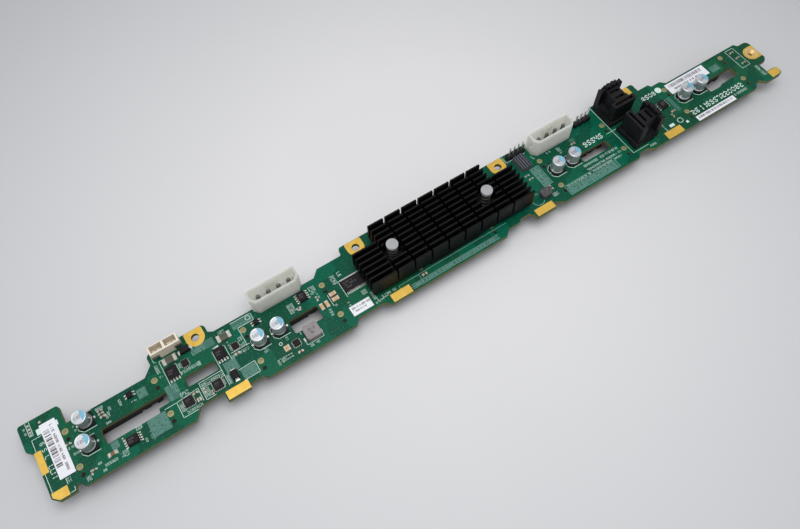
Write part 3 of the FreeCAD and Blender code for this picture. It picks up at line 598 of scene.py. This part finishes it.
# lines from point to point; those round the tables are in the tables' dimmer ink
silkLines = [
    (-199.7, 10.4, -195.6, 10.4), (-199.7, 4.9, -199.7, 10.4), (-199.6, -14.2, -199.6, -5.9),
    (-193.1, -11.8, -193.1, -14.2), (-193.1, -18.2, -191.2, -18.2), (-191.2, -18.2, -191.2, -16.6),
    (-199.9, 12.3, -198.3, 12.3), (-199.9, 12.3, -199.9, 18.6), (-198.3, 12.3, -198.3, 18.6),
    (-143.8, 14.2, -143.8, 18.5), (-143.8, 14.2, -142.9, 13.8), (-141.7, 9.2, -141.7, 13.4),
    (-141.7, 13.4, -134.1, 13.4), (-141.7, 0.8, -141.7, 8.6), (-141.7, 8.7, -135.8, 8.7),
    (-135.8, 8.7, -135.8, 2.4), (-142.7, -15.2, -142.7, -7.6), (-142.7, -15.2, -136.0, -15.2),
    (-142.7, -7.6, -148.0, -7.6), (-142.7, -7.6, -132.5, -6.7), (-132.5, -6.7, -132.5, -12.8),
    (-131.3, -5.0, -120.2, -5.0), (-131.3, -5.0, -131.3, -13.4), (-131.3, -13.4, -127.0, -13.4),
    (-131.0, -7.7, -120.2, -7.7), (-120.4, -12.8, -120.4, 4.6), (-120.2, 5.0, -114.8, 5.0),
    (-114.5, 4.6, -114.5, -2.6), (-114.3, -9.0, -106.5, -8.8), (-106.5, -8.8, -106.5, -14.5),
    (-106.5, -14.5, -114.0, -14.5), (-105.9, -0.6, -105.9, 8.5), (-105.9, 8.6, -98.0, 8.6),
    (-98.0, 8.6, -98.0, 12.3), (-107.9, 12.3, -98.0, 12.3), (-104.7, -0.4, -113.5, -0.4),
    (-64.7, -5.2, -64.7, 0.7), (-57.3, -4.9, -57.3, 3.4), (-57.3, 3.9, -44.6, 3.9),
    (-46.6, -4.4, -46.6, -14.2), (-46.6, -14.2, -41.6, -14.2),
    (-83.7, -13.9, -83.7, -15.2), (-75.4, -13.7, -75.4, -15.2), (-83.7, -15.2, -75.4, -15.2),
    (-83.7, -8.2, -83.7, -9.4), (46.1, 14.6, 57.4, 14.6), (46.1, 14.6, 46.1, 18.4), (58.4, 11.2, 59.2, 9.0),
    (102.6, -15.3, 102.6, 18.7), (102.6, -15.3, 112.5, -15.3), (99.1, 1.0, 105.1, 1.0),
    (187.9, -5.2, 187.9, 8.2), (187.9, 8.2, 193.4, 8.2), (193.4, 8.2, 193.4, -5.2),
    (193.4, -5.2, 187.9, -5.2),
]
dimLines = [
    (-29.9, -12.95, 25.1, -12.95), (-30.0, -15.9, 18.0, -15.9), (-30.0, -18.0, 18.0, -18.0),
    (-35.2, -17.0, -24.4, -17.0), (-35.2, -17.0, -35.2, -13.1), (-24.4, -17.0, -24.4, -13.1),
    (-35.2, -13.1, -24.4, -13.1), (53.2, -7.0, 53.2, 5.0), (58.2, -7.0, 58.2, 5.0), (53.2, 5.0, 58.2, 5.0),
    (53.2, -7.0, 58.2, -7.0), (53.2, 2.0, 58.2, 2.0), (53.2, -1.0, 58.2, -1.0), (53.2, -4.0, 58.2, -4.0),
    (55.7, -7.0, 55.7, 5.0), (61.3, -17.8, 92.1, -17.8), (61.3, -17.8, 61.3, -12.1),
    (92.1, -17.8, 92.1, -12.1), (61.3, -12.1, 92.1, -12.1), (61.3, -13.8, 92.1, -13.8),
]
silk = newPiece()
tables = newPiece()
for mesh, lines in ((silk, silkLines), (tables, dimLines)):
    for line in lines:
        addStroke(mesh, *line, silkLook["line"])
# round each can's base: two cut corners on the left, and its right side open
canOutline = [
    (-2.0, -3.85, 3.45, -3.85, "canLine"), (-2.0, -3.85, -3.85, -2.0, "canLine"),
    (-3.85, -2.0, -3.85, -1.0, "line"), (-3.85, 1.0, -3.85, 2.0, "line"), (-3.85, 2.0, -2.0, 3.85, "line"),
    (-2.0, 3.85, 3.45, 3.85, "line"),
]
canPlaces = [(onColumn(column, offset), y) for column, offset, y in (
    (0, -11.2, 5.7), (0, -13.5, -4.5), (1, -15.95, -2.2), (1, -6.35, -2.1), (3, -16.2, -2.1), (3, -6.4, -2.1),
    (4, -14.9, -2.2), (4, -4.9, -2.2))]
for x, y in canPlaces:
    for x0, y0, x1, y1, width in canOutline:
        addStroke(silk, x + x0, y + y0, x + x1, y + y1, silkLook[width])

# fields of numbers: two corners, height of the digits, whether they read up the board
silkNumbers = [
    (-201.4, 13.8, -200.6, 17.8, 0.8, True), (-197.6, 6.2, -195.4, 7.8, 1.9, True),
    (-197.6, 3.2, -195.4, 5.2, 1.9, True), (-197.6, -0.2, -195.4, 1.8, 1.9, True),
    (-197.6, -10.2, -195.4, -2.4, 2.1, True), (-192.8, -14.2, -191.0, -11.6, 1.0, False),
    (-188.0, -1.6, -185.4, -0.6, 1.0, False), (-183.6, 6.4, -182.6, 7.6, 0.9, True),
    (-183.2, 4.0, -182.4, 5.4, 0.8, True), (-187.0, -5.0, -184.2, -3.9, 1.0, False),
    (-172.8, 7.6, -169.4, 8.8, 1.0, False), (-170.2, 2.0, -168.0, 5.4, 0.9, True),
    (-168.0, 5.0, -166.9, 7.2, 1.0, True), (-171.0, -0.3, -168.6, 0.7, 0.9, False),
    (-180.0, -14.2, -176.8, -13.0, 1.0, False), (-177.8, -16.3, -171.9, -15.2, 1.1, False),
    (-179.2, -17.9, -176.8, -16.8, 1.0, False), (-186.0, -18.0, -184.0, -15.0, 0.9, True),
    (-172.8, -11.6, -169.6, -8.2, 0.7, True), (-170.7, -17.0, -167.4, -14.0, 0.7, True),
    (-163.2, 4.2, -162.4, 7.4, 0.9, True), (-158.8, 2.8, -156.2, 4.2, 0.9, True),
    (-155.2, 2.4, -151.2, 6.6, 0.85, False), (-161.7, -9.6, -158.7, -7.5, 0.8, True),
    (-159.8, -16.2, -159.0, -13.8, 0.8, True), (-157.3, -16.9, -155.3, -13.8, 0.9, False),
    (-157.2, -13.0, -155.4, -12.0, 0.8, True), (-156.6, -16.2, -148.1, -7.9, 0.75, True),
    (-144.4, 8.2, -142.4, 12.5, 0.9, False), (-144.2, 6.1, -142.6, 7.0, 0.8, False),
    (-144.4, -5.9, -142.0, 1.2, 0.95, False), (-142.0, -3.4, -139.2, 1.2, 0.8, True),
    (-140.2, -6.6, -136.2, -4.2, 0.8, True), (-135.8, 2.6, -126.4, 4.4, 0.9, True),
    (-135.4, 4.6, -134.4, 8.4, 0.8, True), (-142.2, -13.0, -140.0, -8.4, 0.8, False),
    (-140.6, -14.6, -133.4, -12.8, 0.8, True), (-131.0, -12.8, -128.2, -8.2, 0.8, False),
    (-130.9, -7.2, -120.6, -5.4, 0.9, True), (-128.0, 2.0, -126.2, 4.4, 0.9, False),
    (-128.2, 7.6, -121.4, 11.2, 0.85, False), (-114.6, 9.9, -111.4, 12.4, 0.8, True),
    (-107.9, 8.8, -98.2, 10.9, 0.95, True), (-119.6, 5.4, -117.2, 6.2, 0.8, False),
    (-113.2, -0.2, -112.2, 6.0, 0.85, True), (-108.4, -0.1, -106.3, 4.8, 0.8, True),
    (-114.6, -2.9, -105.4, -0.8, 0.9, True), (-119.0, -8.3, -113.2, -2.8, 0.62, False),
    (-119.9, -12.8, -117.9, -8.2, 0.8, False), (-113.6, -14.2, -106.8, -9.2, 0.62, True),
    (-123.0, -12.6, -121.2, -8.2, 0.7, False), (-101.0, -8.6, -98.2, -6.0, 0.85, False),
    (-98.5, -17.0, -95.6, -14.2, 0.8, True), (-95.6, -16.4, -91.0, -14.2, 0.85, True),
    (-90.8, -8.6, -88.6, -6.4, 0.9, False), (-83.0, 1.4, -79.9, 6.6, 0.85, True),
    (-82.8, -16.9, -77.6, -15.7, 1.1, False), (-70.6, 4.8, -66.8, 8.8, 0.9, False),
    (-68.8, 1.6, -67.8, 5.0, 0.8, True), (-68.0, -9.3, -66.4, -5.4, 0.9, False),
    (-64.6, -6.2, -62.4, -4.9, 0.95, False), (-59.8, 3.4, -57.0, 8.4, 1.0, False),
    (-55.9, 6.0, -54.0, 9.4, 1.6, True), (-58.9, -9.4, -58.0, -6.8, 0.9, True),
    (-51.0, -8.2, -48.2, -5.6, 1.0, False), (-47.9, -12.8, -46.9, -8.0, 0.9, True),
    (-48.2, -15.2, -43.2, -14.0, 1.0, False), (53.4, -6.8, 58.0, 4.8, 1.2, False),
    (53.8, -14.2, 57.0, -12.0, 0.9, False), (66.2, 7.8, 69.2, 9.0, 1.0, False),
    (71.8, 4.4, 73.8, 9.0, 0.8, True), (84.8, 0.2, 99.0, 3.6, 2.9, False),
    (76.8, -9.0, 98.8, -7.4, 1.25, False), (76.8, -11.5, 98.8, -10.1, 1.1, False),
    (92.4, -13.4, 97.6, -12.4, 0.9, False), (62.0, -13.5, 91.6, -12.3, 1.0, False),
    (62.0, -17.5, 91.6, -14.2, 1.0, False), (112.6, -17.4, 116.6, -16.0, 1.1, False),
    (144.2, -14.5, 180.8, -11.2, 3.0, False),
    (169.8, -17.0, 180.8, -15.3, 1.3, False), (172.6, 1.2, 178.4, 4.8, 1.5, False),
    (193.7, -15.4, 196.4, -7.6, 0.8, False), (125.6, -16.2, 126.6, -9.0, 0.8, True),
    (-28.0, -17.7, 16.0, -16.2, 1.2, False), (-44.2, -14.0, -35.8, -12.6, 1.1, False),
]
# dense tables stand on thinly printed grounds
silkGrounds = [
    (-121.6, 7.4, -117.4, 11.4), (-128.0, 7.6, -121.6, 11.0), (-119.0, -8.4, -113.0, -2.8),
    (-113.8, -14.3, -106.8, -9.1), (-155.3, 2.2, -151.1, 6.8), (-156.6, -16.2, -148.2, -7.9),
    (53.4, -6.8, 58.0, 4.8), (61.6, -17.6, 91.8, -14.0), (80.5, 6.9, 83.3, 8.8), (139.4, -8.0, 141.8, 1.8),
    (-107.9, 8.7, -98.2, 12.1), (-29.8, -17.8, 17.8, -16.1), (-144.6, -6.0, -139.3, 1.2),
    (-172.8, -11.8, -169.6, -8.1), (173.0, 1.0, 178.5, 5.0),
]
for x0, y0, x1, y1, high, upright in silkNumbers:
    x, y = (x0 + x1) / 2, (y0 + y1) / 2
    dense = any(west < x < east and south < y < north for west, south, east, north in silkGrounds)
    fillNumbers(tables if dense else silk, x0, y0, x1, y1, high, upright)
addRing(tables, 45.9, -11.0, 3.0, 3.3, *silkLevels)
finishPiece("silk_tables", tables, "tableInk")
addNumber(silk, "8508", 128.8, 6.5, 2.7, weight=0.2)
for patch in ((-196.9, 11.1, -195.2, 13.8), (-188.5, 11.1, -187.8, 13.4), (-118.9, 5.5, -116.8, 6.3),
              (128.9, -13.8, 131.9, -12.1), (137.9, -16.2, 139.3, -14.8)):
    addPatch(silk, *patch, *silkLevels)
for ring in ((-100.0, 10.8, 0.95, 1.2), (136.1, -12.8, 1.3, 1.6), (-93.4, -8.4, 0.55, 0.8)):
    addRing(silk, *ring, *silkLevels)
addPlate(silk, circle(140.1, 8.2, 1.8, 32), *silkLevels)
finishPiece("silkscreen", silk, "silkInk")
grounds = newPiece()
for patch in silkGrounds:
    addPatch(grounds, *patch, deck, silkLevels[0])
finishPiece("silk_grounds", grounds, "dimInk")

note("capacitors")
canLook = {
    "sides": 48, "top": topOf("capacitor_cans"), "base": deck + 1.0, "rimDrop": 0.03,
    "bandRadius": 2.74, "bandHalfAngle": 69.0, "tab": (1.1, 0.9, 0.25), "tabAside": 3.62,
    "digits": ("47", "25", "103"), "digitHigh": 0.9, "digitStart": -1.1, "lineDrop": 1.15,
}
cans = newPiece()
canBands = newPiece()
canTabs = newPiece()
canDigits = newPiece()
# radius and height above the base of the crimped foot, then radius and drop from the top of the rolled rim
canFoot = ((2.9, 0.0), (3.12, 0.12), (3.15, 0.3), (3.15, 0.62), (3.08, 0.72), (2.86, 0.86), (2.8, 1.0),
           (2.86, 1.14), (3.08, 1.28), (3.15, 1.38))
canRim = ((3.15, 0.5), (3.12, 0.3), (3.03, 0.13), (2.88, 0.03), (2.72, 0.0), (2.6, 0.03))
canProfile = [(radius, canLook["base"] + rise) for radius, rise in canFoot]
canProfile += [(radius, canLook["top"] - drop) for radius, drop in canRim]
canFace = canLook["top"] - canLook["rimDrop"]
for x, y in canPlaces:
    addTurned(cans, x, y, canProfile, canLook["sides"])
    band = circle(x, y, canLook["bandRadius"], 24, -canLook["bandHalfAngle"], 2 * canLook["bandHalfAngle"])
    addPlate(canBands, band, canFace, canFace + 0.05)
    length, width, high = canLook["tab"]
    for side in (-canLook["tabAside"], canLook["tabAside"]):
        addBlock(canTabs, x + side, y, length, width, deck, deck + high)
    for row, words in enumerate(canLook["digits"]):
        lineX = x + canLook["digitStart"] + row * canLook["lineDrop"]
        addNumber(canDigits, words, lineX, y - len(words) * 0.42, canLook["digitHigh"], 90.0,
                  (canFace, canFace + 0.015), 0.16)
closeEnds(cans)
canShown = finishPiece("capacitor_shells", cans, "canMetal")
for face in canShown.data.polygons:
    face.use_smooth = abs(face.normal.z) < 0.95
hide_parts("capacitor_cans")
finishPiece("can_bands", canBands, "blueInk")
finishPiece("can_print", canDigits, "labelInk")
finishPiece("can_tabs", canTabs, "tin", bevel=0.05)

note("leads")
leadLook = {
    "thick": 0.16, "inset": 0.1, "lift": 0.03, "padThick": 0.04, "padLong": 0.75, "padWide": 1.35,
    "padSpot": 0.8,
}
leadKinds = {
    "longChip": {"count": 4, "pitch": 1.15, "wide": 0.42, "high": 0.75, "reach": 1.15},
    "wideChip": {"count": 4, "pitch": 1.27, "wide": 0.42, "high": 0.75, "reach": 1.15},
    "power": {"count": 4, "pitch": 1.27, "wide": 0.5, "high": 0.55, "reach": 1.05},
    "memory": {"count": 18, "pitch": 0.65, "wide": 0.28, "high": 0.6, "reach": 0.95},
    "transistor": {"count": 2, "pitch": 1.3, "wide": 0.45, "high": 0.6, "reach": 0.9},
    "upperDiode": {"count": 1, "pitch": 0.0, "wide": 1.4, "high": 1.0, "reach": 0.9},
    "lowerDiode": {"count": 1, "pitch": 0.0, "wide": 1.5, "high": 1.0, "reach": 0.9},
}
leads = newPiece()
solderPads = newPiece()


# gull-wing lead leaving the body at a point, outward along the turned line
def addLead(mesh, x, y, turn, wide, high, reach):
    cosine, sine = math.cos(math.radians(turn)), math.sin(math.radians(turn))
    thick, inset = leadLook["thick"], leadLook["inset"]
    side = [(-inset, high), (0.3 * reach, high), (0.5 * reach, thick), (reach, thick), (reach, 0.0),
            (0.42 * reach, 0.0), (0.22 * reach, high - thick), (-inset, high - thick)]
    places = [(x + out * cosine + wide / 2 * sine, y + out * sine - wide / 2 * cosine,
               deck + leadLook["lift"] + z) for out, z in side]
    face = mesh.faces.new([mesh.verts.new([value * mm for value in place]) for place in places])
    grown = bmesh.ops.extrude_face_region(mesh, geom=[face])["geom"]
    verts = [part for part in grown if isinstance(part, bmesh.types.BMVert)]
    bmesh.ops.translate(mesh, verts=verts, vec=(-wide * sine * mm, wide * cosine * mm, 0))


def addPad(x, y, length, width):
    addBlock(solderPads, x, y, length, width, deck, deck + leadLook["padThick"])


# a row of leads side by side along a body's edge, each on its own pad
def leadRow(x, y, turn, kind):
    cosine, sine = math.cos(math.radians(turn)), math.sin(math.radians(turn))
    count, pitch, wide, high, reach = leadKinds[kind].values()
    size = [reach * leadLook["padLong"], wide * leadLook["padWide"]]
    if abs(cosine) < 0.5:
        size.reverse()
    spot = reach * leadLook["padSpot"]
    for across in spread(count, pitch):
        leadX, leadY = x - across * sine, y + across * cosine
        addLead(leads, leadX, leadY, turn, wide, high, reach)
        addPad(leadX + spot * cosine, leadY + spot * sine, *size)


# small logic chips: leads at both ends of their length along X
for column, offset, y, length, kind in ((0, 2.6, -12.4, 5.0, "longChip"), (1, 9.65, 6.3, 3.9, "wideChip"),
                                        (4, -27.8, -0.6, 3.9, "wideChip")):
    for turn, edge in ((0.0, length / 2), (180.0, -length / 2)):
        leadRow(onColumn(column, offset) + edge, y, turn, kind)
# power chips: four leads below, a soldered tab above
for column, offset, y in ((0, 28.0, 5.6), (1, -33.35, 2.2)):
    leadRow(onColumn(column, offset), y - 2.95, -90.0, "power")
    addPad(onColumn(column, offset), y + 3.0, 4.4, 0.7)
# memory chip: fine leads on both long sides
memoryX, memoryY, _ = centreOf("memory_chip")
for turn, edge in ((90.0, 3.05), (-90.0, -3.05)):
    leadRow(memoryX, memoryY + edge, turn, "memory")
# leadless chips: pads peep out all round
for column, offset, y, size, count in (
        (0, 28.7, -10.0, 4.3, 6), (0, 42.2, -10.0, 4.3, 6), (0, 34.4, 6.5, 3.0, 4), (1, -26.25, 1.7, 3.0, 4),
        (1, -3.05, -11.8, 3.0, 4)):
    x = onColumn(column, offset)
    for across in spread(count, (size - 0.6) / (count - 1)):
        for aside in (-size / 2 - 0.22, size / 2 + 0.22):
            addPad(x + across, y + aside, 0.32, 0.6)
            addPad(x + aside, y + across, 0.6, 0.32)
# small transistors have two leads on each side, and diodes one folded tab at each end
for side, turn in ((1, 0.0), (-1, 180.0)):
    for column, offset, y in ((0, 8.6, 6.4), (1, -13.55, 6.7)):
        leadRow(onColumn(column, offset) + side * 1.3, y, turn, "transistor")
    leadRow(onColumn(0, 36.8) + side * 2.2, 12.0, turn, "upperDiode")
    leadRow(onColumn(1, -32.2), -10.2 + side * 2.0, turn + 90.0, "lowerDiode")
finishPiece("chip_leads", leads, "tin")

# small resistors and capacitors: a body between two plated ends
passiveLook = {"capShare": 0.25, "bodyInset": 0.06, "bodyDrop": 0.04, "padOut": 0.1, "padLong": 0.7,
               "padWide": 1.1}
bodies = newPiece()
ends = newPiece()


# block that lies along X, or along Y where it is upright
def addTurnedBlock(mesh, x, y, along, length, width, high, upright):
    if upright:
        addBlock(mesh, x, y + along, width, length, deck, deck + high)
    else:
        addBlock(mesh, x + along, y, length, width, deck, deck + high)


def addPassive(x, y, length, width, high, upright):
    look = passiveLook
    cap = length * look["capShare"]
    for side in (-1, 1):
        addTurnedBlock(ends, x, y, side * (length - cap) / 2, cap, width, high, upright)
        addTurnedBlock(solderPads, x, y, side * (length / 2 + look["padOut"]), look["padLong"],
                       width * look["padWide"], leadLook["padThick"], upright)
    addTurnedBlock(bodies, x, y, 0.0, length - 2 * cap, width - look["bodyInset"], high - look["bodyDrop"],
                   upright)


# x, y, length, width, height, whether it lies along Y
for passive in (
        (-187.3, 0.7, 1.6, 0.8, 0.5, False), (-171.3, 7.0, 1.6, 0.8, 0.5, False),
        (-171.3, 5.6, 1.6, 0.8, 0.5, False), (-171.0, 4.0, 1.8, 1.0, 0.6, False),
        (-173.3, -12.9, 3.4, 1.7, 0.6, False), (-183.3, -15.4, 1.4, 0.7, 0.5, True),
        (-181.9, -14.8, 1.2, 0.7, 0.5, False), (-167.7, -10.0, 1.2, 0.6, 0.4, True),
        (-134.1, -8.1, 1.7, 0.9, 0.5, False), (-133.9, -11.5, 1.0, 1.7, 0.5, False),
        (-130.4, -9.2, 1.5, 0.8, 0.5, True), (-127.8, -11.8, 1.2, 0.7, 0.5, True),
        (-111.2, -1.8, 1.8, 0.9, 0.5, False), (-87.6, -16.2, 1.7, 0.9, 0.6, False),
        (-69.5, 1.9, 1.6, 0.8, 0.5, True), (-78.6, 2.3, 1.4, 0.7, 0.4, False),
        (50.0, 2.8, 1.6, 0.8, 0.5, False), (50.6, 0.3, 1.6, 0.8, 0.5, False),
        (54.8, -7.9, 1.8, 0.9, 0.6, False), (55.0, -9.8, 1.8, 0.9, 0.6, False),
        (81.1, 5.7, 1.7, 1.0, 0.6, False), (137.3, -6.5, 1.8, 1.0, 0.6, False),
        (135.0, -8.6, 1.6, 0.8, 0.5, True), (-21.9, -14.4, 1.8, 1.2, 0.6, False),
        (190.5, 5.8, 1.8, 0.9, 0.6, False), (190.8, 1.5, 1.8, 0.9, 0.6, False),
        (191.0, -2.7, 1.8, 0.9, 0.6, False)):
    addPassive(*passive)
finishPiece("passive_bodies", bodies, "passiveBody", bevel=0.03)

# plated ends of the fuses and the larger ceramics: column, offset, y, step from the middle, size, along Y
for column, offset, y, step, length, width, high, upright in (
        (0, 29.4, 11.4, 2.48, 1.5, 3.3, 0.96, False), (1, -28.55, 8.2, 2.48, 1.5, 3.3, 0.96, False),
        (1, 21.85, -0.25, 1.32, 0.62, 1.88, 1.25, False), (1, 21.85, -3.0, 1.32, 0.62, 1.88, 1.25, False),
        (1, 14.75, -3.3, 1.32, 0.62, 1.68, 1.25, True), (1, 17.35, -3.3, 1.32, 0.62, 1.68, 1.25, True),
        (1, -7.65, -11.15, 1.02, 0.62, 1.28, 0.95, False), (1, -7.65, -12.55, 1.02, 0.62, 1.28, 0.95, False)):
    for side in (-step, step):
        addTurnedBlock(ends, onColumn(column, offset), y, side, length, width, high, upright)
finishPiece("end_caps", ends, "endMetal", bevel=0.05)
# bare pads with nothing on them
for pad in ((-199.1, 17.2, 0.9, 0.9), (-199.1, 15.5, 0.9, 0.9), (-199.1, 14.0, 0.9, 0.9),
            (-199.1, 12.9, 0.9, 0.6), (-194.4, 16.2, 0.95, 0.95), (-78.6, 1.4, 1.5, 0.6),
            (-83.6, -12.6, 0.8, 1.8), (-75.3, -12.6, 0.6, 1.8), (50.3, -10.6, 0.8, 3.4)):
    addPad(*pad)
finishPiece("solder_pads", solderPads, "endMetal")

note("marks")
marks = newPiece()
# column, offset of the first digit, y of the first line, height of the body
markPlaces = {
    "chip": ((0, 26.25, 5.9, 1.1), (1, -35.1, 2.5, 1.1), (0, 0.8, -12.1, 1.5), (1, 8.4, 6.6, 1.5),
             (4, -29.05, -0.3, 1.5)),
    "small": ((0, 27.5, -9.8, 0.9), (0, 41.0, -9.8, 0.9)),
    "inductor": ((1, 3.65, -11.2, 3.0), (3, -31.5, -10.5, 2.8)),
}
# lines of digits, line pitch, digit height, thickness of the ink, weight
markPrint = {
    "chip": (("4835", "620"), 1.2, 0.75, 0.01, 0.14), "small": (("205", "71"), 1.1, 0.8, 0.01, 0.14),
    "inductor": (("3-3", "16"), 1.7, 1.35, 0.012, 0.2),
    "memory": (("6160 4", "23 70812", "1508"), 1.35, 0.85, 0.01, 0.14),
}


def addMark(x, y, top, kind):
    lines, pitch, digitHigh, thick, weight = markPrint[kind]
    for row, words in enumerate(lines):
        addNumber(marks, words, x, y - row * pitch, digitHigh, 0.0, (top, top + thick), weight)


addMark(memoryX - 5.0, memoryY + 1.0, topOf("memory_chip"), "memory")
for kind, places in markPlaces.items():
    for column, offset, y, high in places:
        addMark(onColumn(column, offset), y, deck + high, kind)
finishPiece("chip_marks", marks, "chipInk")

stripes = newPiece()
ribWidth = 0.9
ribLow, ribHigh = [[value / mm for value in corner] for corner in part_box("ribbed_block")]
ribPitch = (ribHigh[0] - ribLow[0]) / 4
for across in spread(4, ribPitch):
    left = (ribLow[0] + ribHigh[0] - ribWidth) / 2 + across
    addPatch(stripes, left, ribLow[1], left + ribWidth, ribHigh[1], ribHigh[2] - 0.012, ribHigh[2])
finishPiece("rib_stripes", stripes, "paleRib")

note("underside")
# column, offset and y of each header's middle, pin pitch, pin radius, drop below the board, cone radius
headerTails = (
    (1, 0.25, 13.4, 5.08, 0.9, 1.3, 1.5), (3, -9.0, 13.4, 5.08, 0.9, 1.3, 1.5),
    (3, -28.1, 16.1, 2.54, 0.32, 1.1, 0.75), (3, 12.1, 13.9, 2.54, 0.32, 1.1, 0.75),
    (0, 30.4, 16.6, 2.5, 0.27, 1.0, 0.7),
)
ringWidth = 0.35
tailRings = newPiece()
cones = newPiece()
for column, offset, y, pitch, radius, drop, coneRadius in headerTails:
    cone = [(coneRadius, boardBottom), (coneRadius * 0.75, boardBottom - drop * 0.25),
            (radius * 1.1, boardBottom - drop * 0.75), (radius, boardBottom - drop)]
    for across in spread(4, pitch):
        x = onColumn(column, offset) + across
        addTurned(cones, x, y, cone, 16)
        addRing(tailRings, x, y, coneRadius, coneRadius + ringWidth, boardBottom - padLook["thick"],
                boardBottom, 20)
closeEnds(cones, boardBottom)
finishPiece("solder_cones", cones, "tin")
finishPiece("underside_rings", tailRings, "goldPlate")

note("stage")
# places and sizes of the stage are in metres
stageLook = {
    "floorSide": 3.0, "floorTones": ((0.56, 0.555, 0.56), (0.60, 0.595, 0.60)),
    # painted pool of light on the floor: it darkens away from its middle
    "paintedShadeTone": (0.42, 0.425, 0.44), "paintedLightMiddle": (0.01, 0.04, 0.0), "paintedLightFallOff": (0.07, 0.30),
    "floorRough": 0.8, "floorSpecular": 0.3, "worldTone": (0.95, 0.97, 1.0, 1), "worldStrength": 0.62,
}
lampLook = {
    "keyLight": {"place": (-0.03, -0.06, 0.55), "size": 0.34, "power": 2.2},
    "fillLight": {"place": (-0.6, 0.15, 0.7), "size": 0.5, "power": 1.0},
}
cameraLook = {
    "place": (-0.1046, -0.13184, 0.29674), "turn": (27.4579, 1.0710, -32.7597), "lens": 31.449,
    "sensor": 36.0, "nearest": 0.01,
}
bpy.ops.mesh.primitive_plane_add(size=stageLook["floorSide"], location=(0, 0, 0))
floor = bpy.context.object
floor.name = "floor"


# pale sheet with a painted pool of light: it darkens away from its brightest place
def floorMaterial(look):
    made, tree, shader = newMaterial("paleFloor")
    away = {0: objectPlace(tree), 1: look["paintedLightMiddle"]}
    distance = addNode(tree, "ShaderNodeVectorMath", away, operation="DISTANCE").outputs[1]
    blotch = useGrain(tree, 400.0, 6.0, 0.2).outputs["Blotch"]
    tone = mixColour(tree, blotch, *look["floorTones"])
    tone = mixColour(tree, ramp(tree, distance, *look["paintedLightFallOff"]), tone, look["paintedShadeTone"])
    tree.links.new(tone, shader.inputs["Base Color"])
    shader.inputs["Roughness"].default_value = look["floorRough"]
    shader.inputs["Specular IOR Level"].default_value = look["floorSpecular"]
    return made


floor.data.materials.append(floorMaterial(stageLook))

for name, look in lampLook.items():
    lamp = bpy.data.lights.new(name, "AREA")
    lamp.energy = look["power"]
    lamp.size = look["size"]
    shown = bpy.data.objects.new(name, lamp)
    shown.location = look["place"]
    aim = -Vector(look["place"])  # towards the board's middle
    shown.rotation_euler = aim.to_track_quat("-Z", "Y").to_euler()
    bpy.context.scene.collection.objects.link(shown)
world = bpy.data.worlds.new("softWorld")
world.use_nodes = True
sky = world.node_tree.nodes["Background"]
sky.inputs[0].default_value = stageLook["worldTone"]
sky.inputs[1].default_value = stageLook["worldStrength"]
bpy.context.scene.world = world

lens = bpy.data.cameras.new("camera")
lens.sensor_width = cameraLook["sensor"]
lens.lens = cameraLook["lens"]
lens.clip_start = cameraLook["nearest"]
camera = bpy.data.objects.new("camera", lens)
camera.location = cameraLook["place"]
camera.rotation_euler = [math.radians(a) for a in cameraLook["turn"]]
bpy.context.scene.collection.objects.link(camera)
bpy.context.scene.camera = camera
bpy.context.scene.view_settings.view_transform = "Standard"
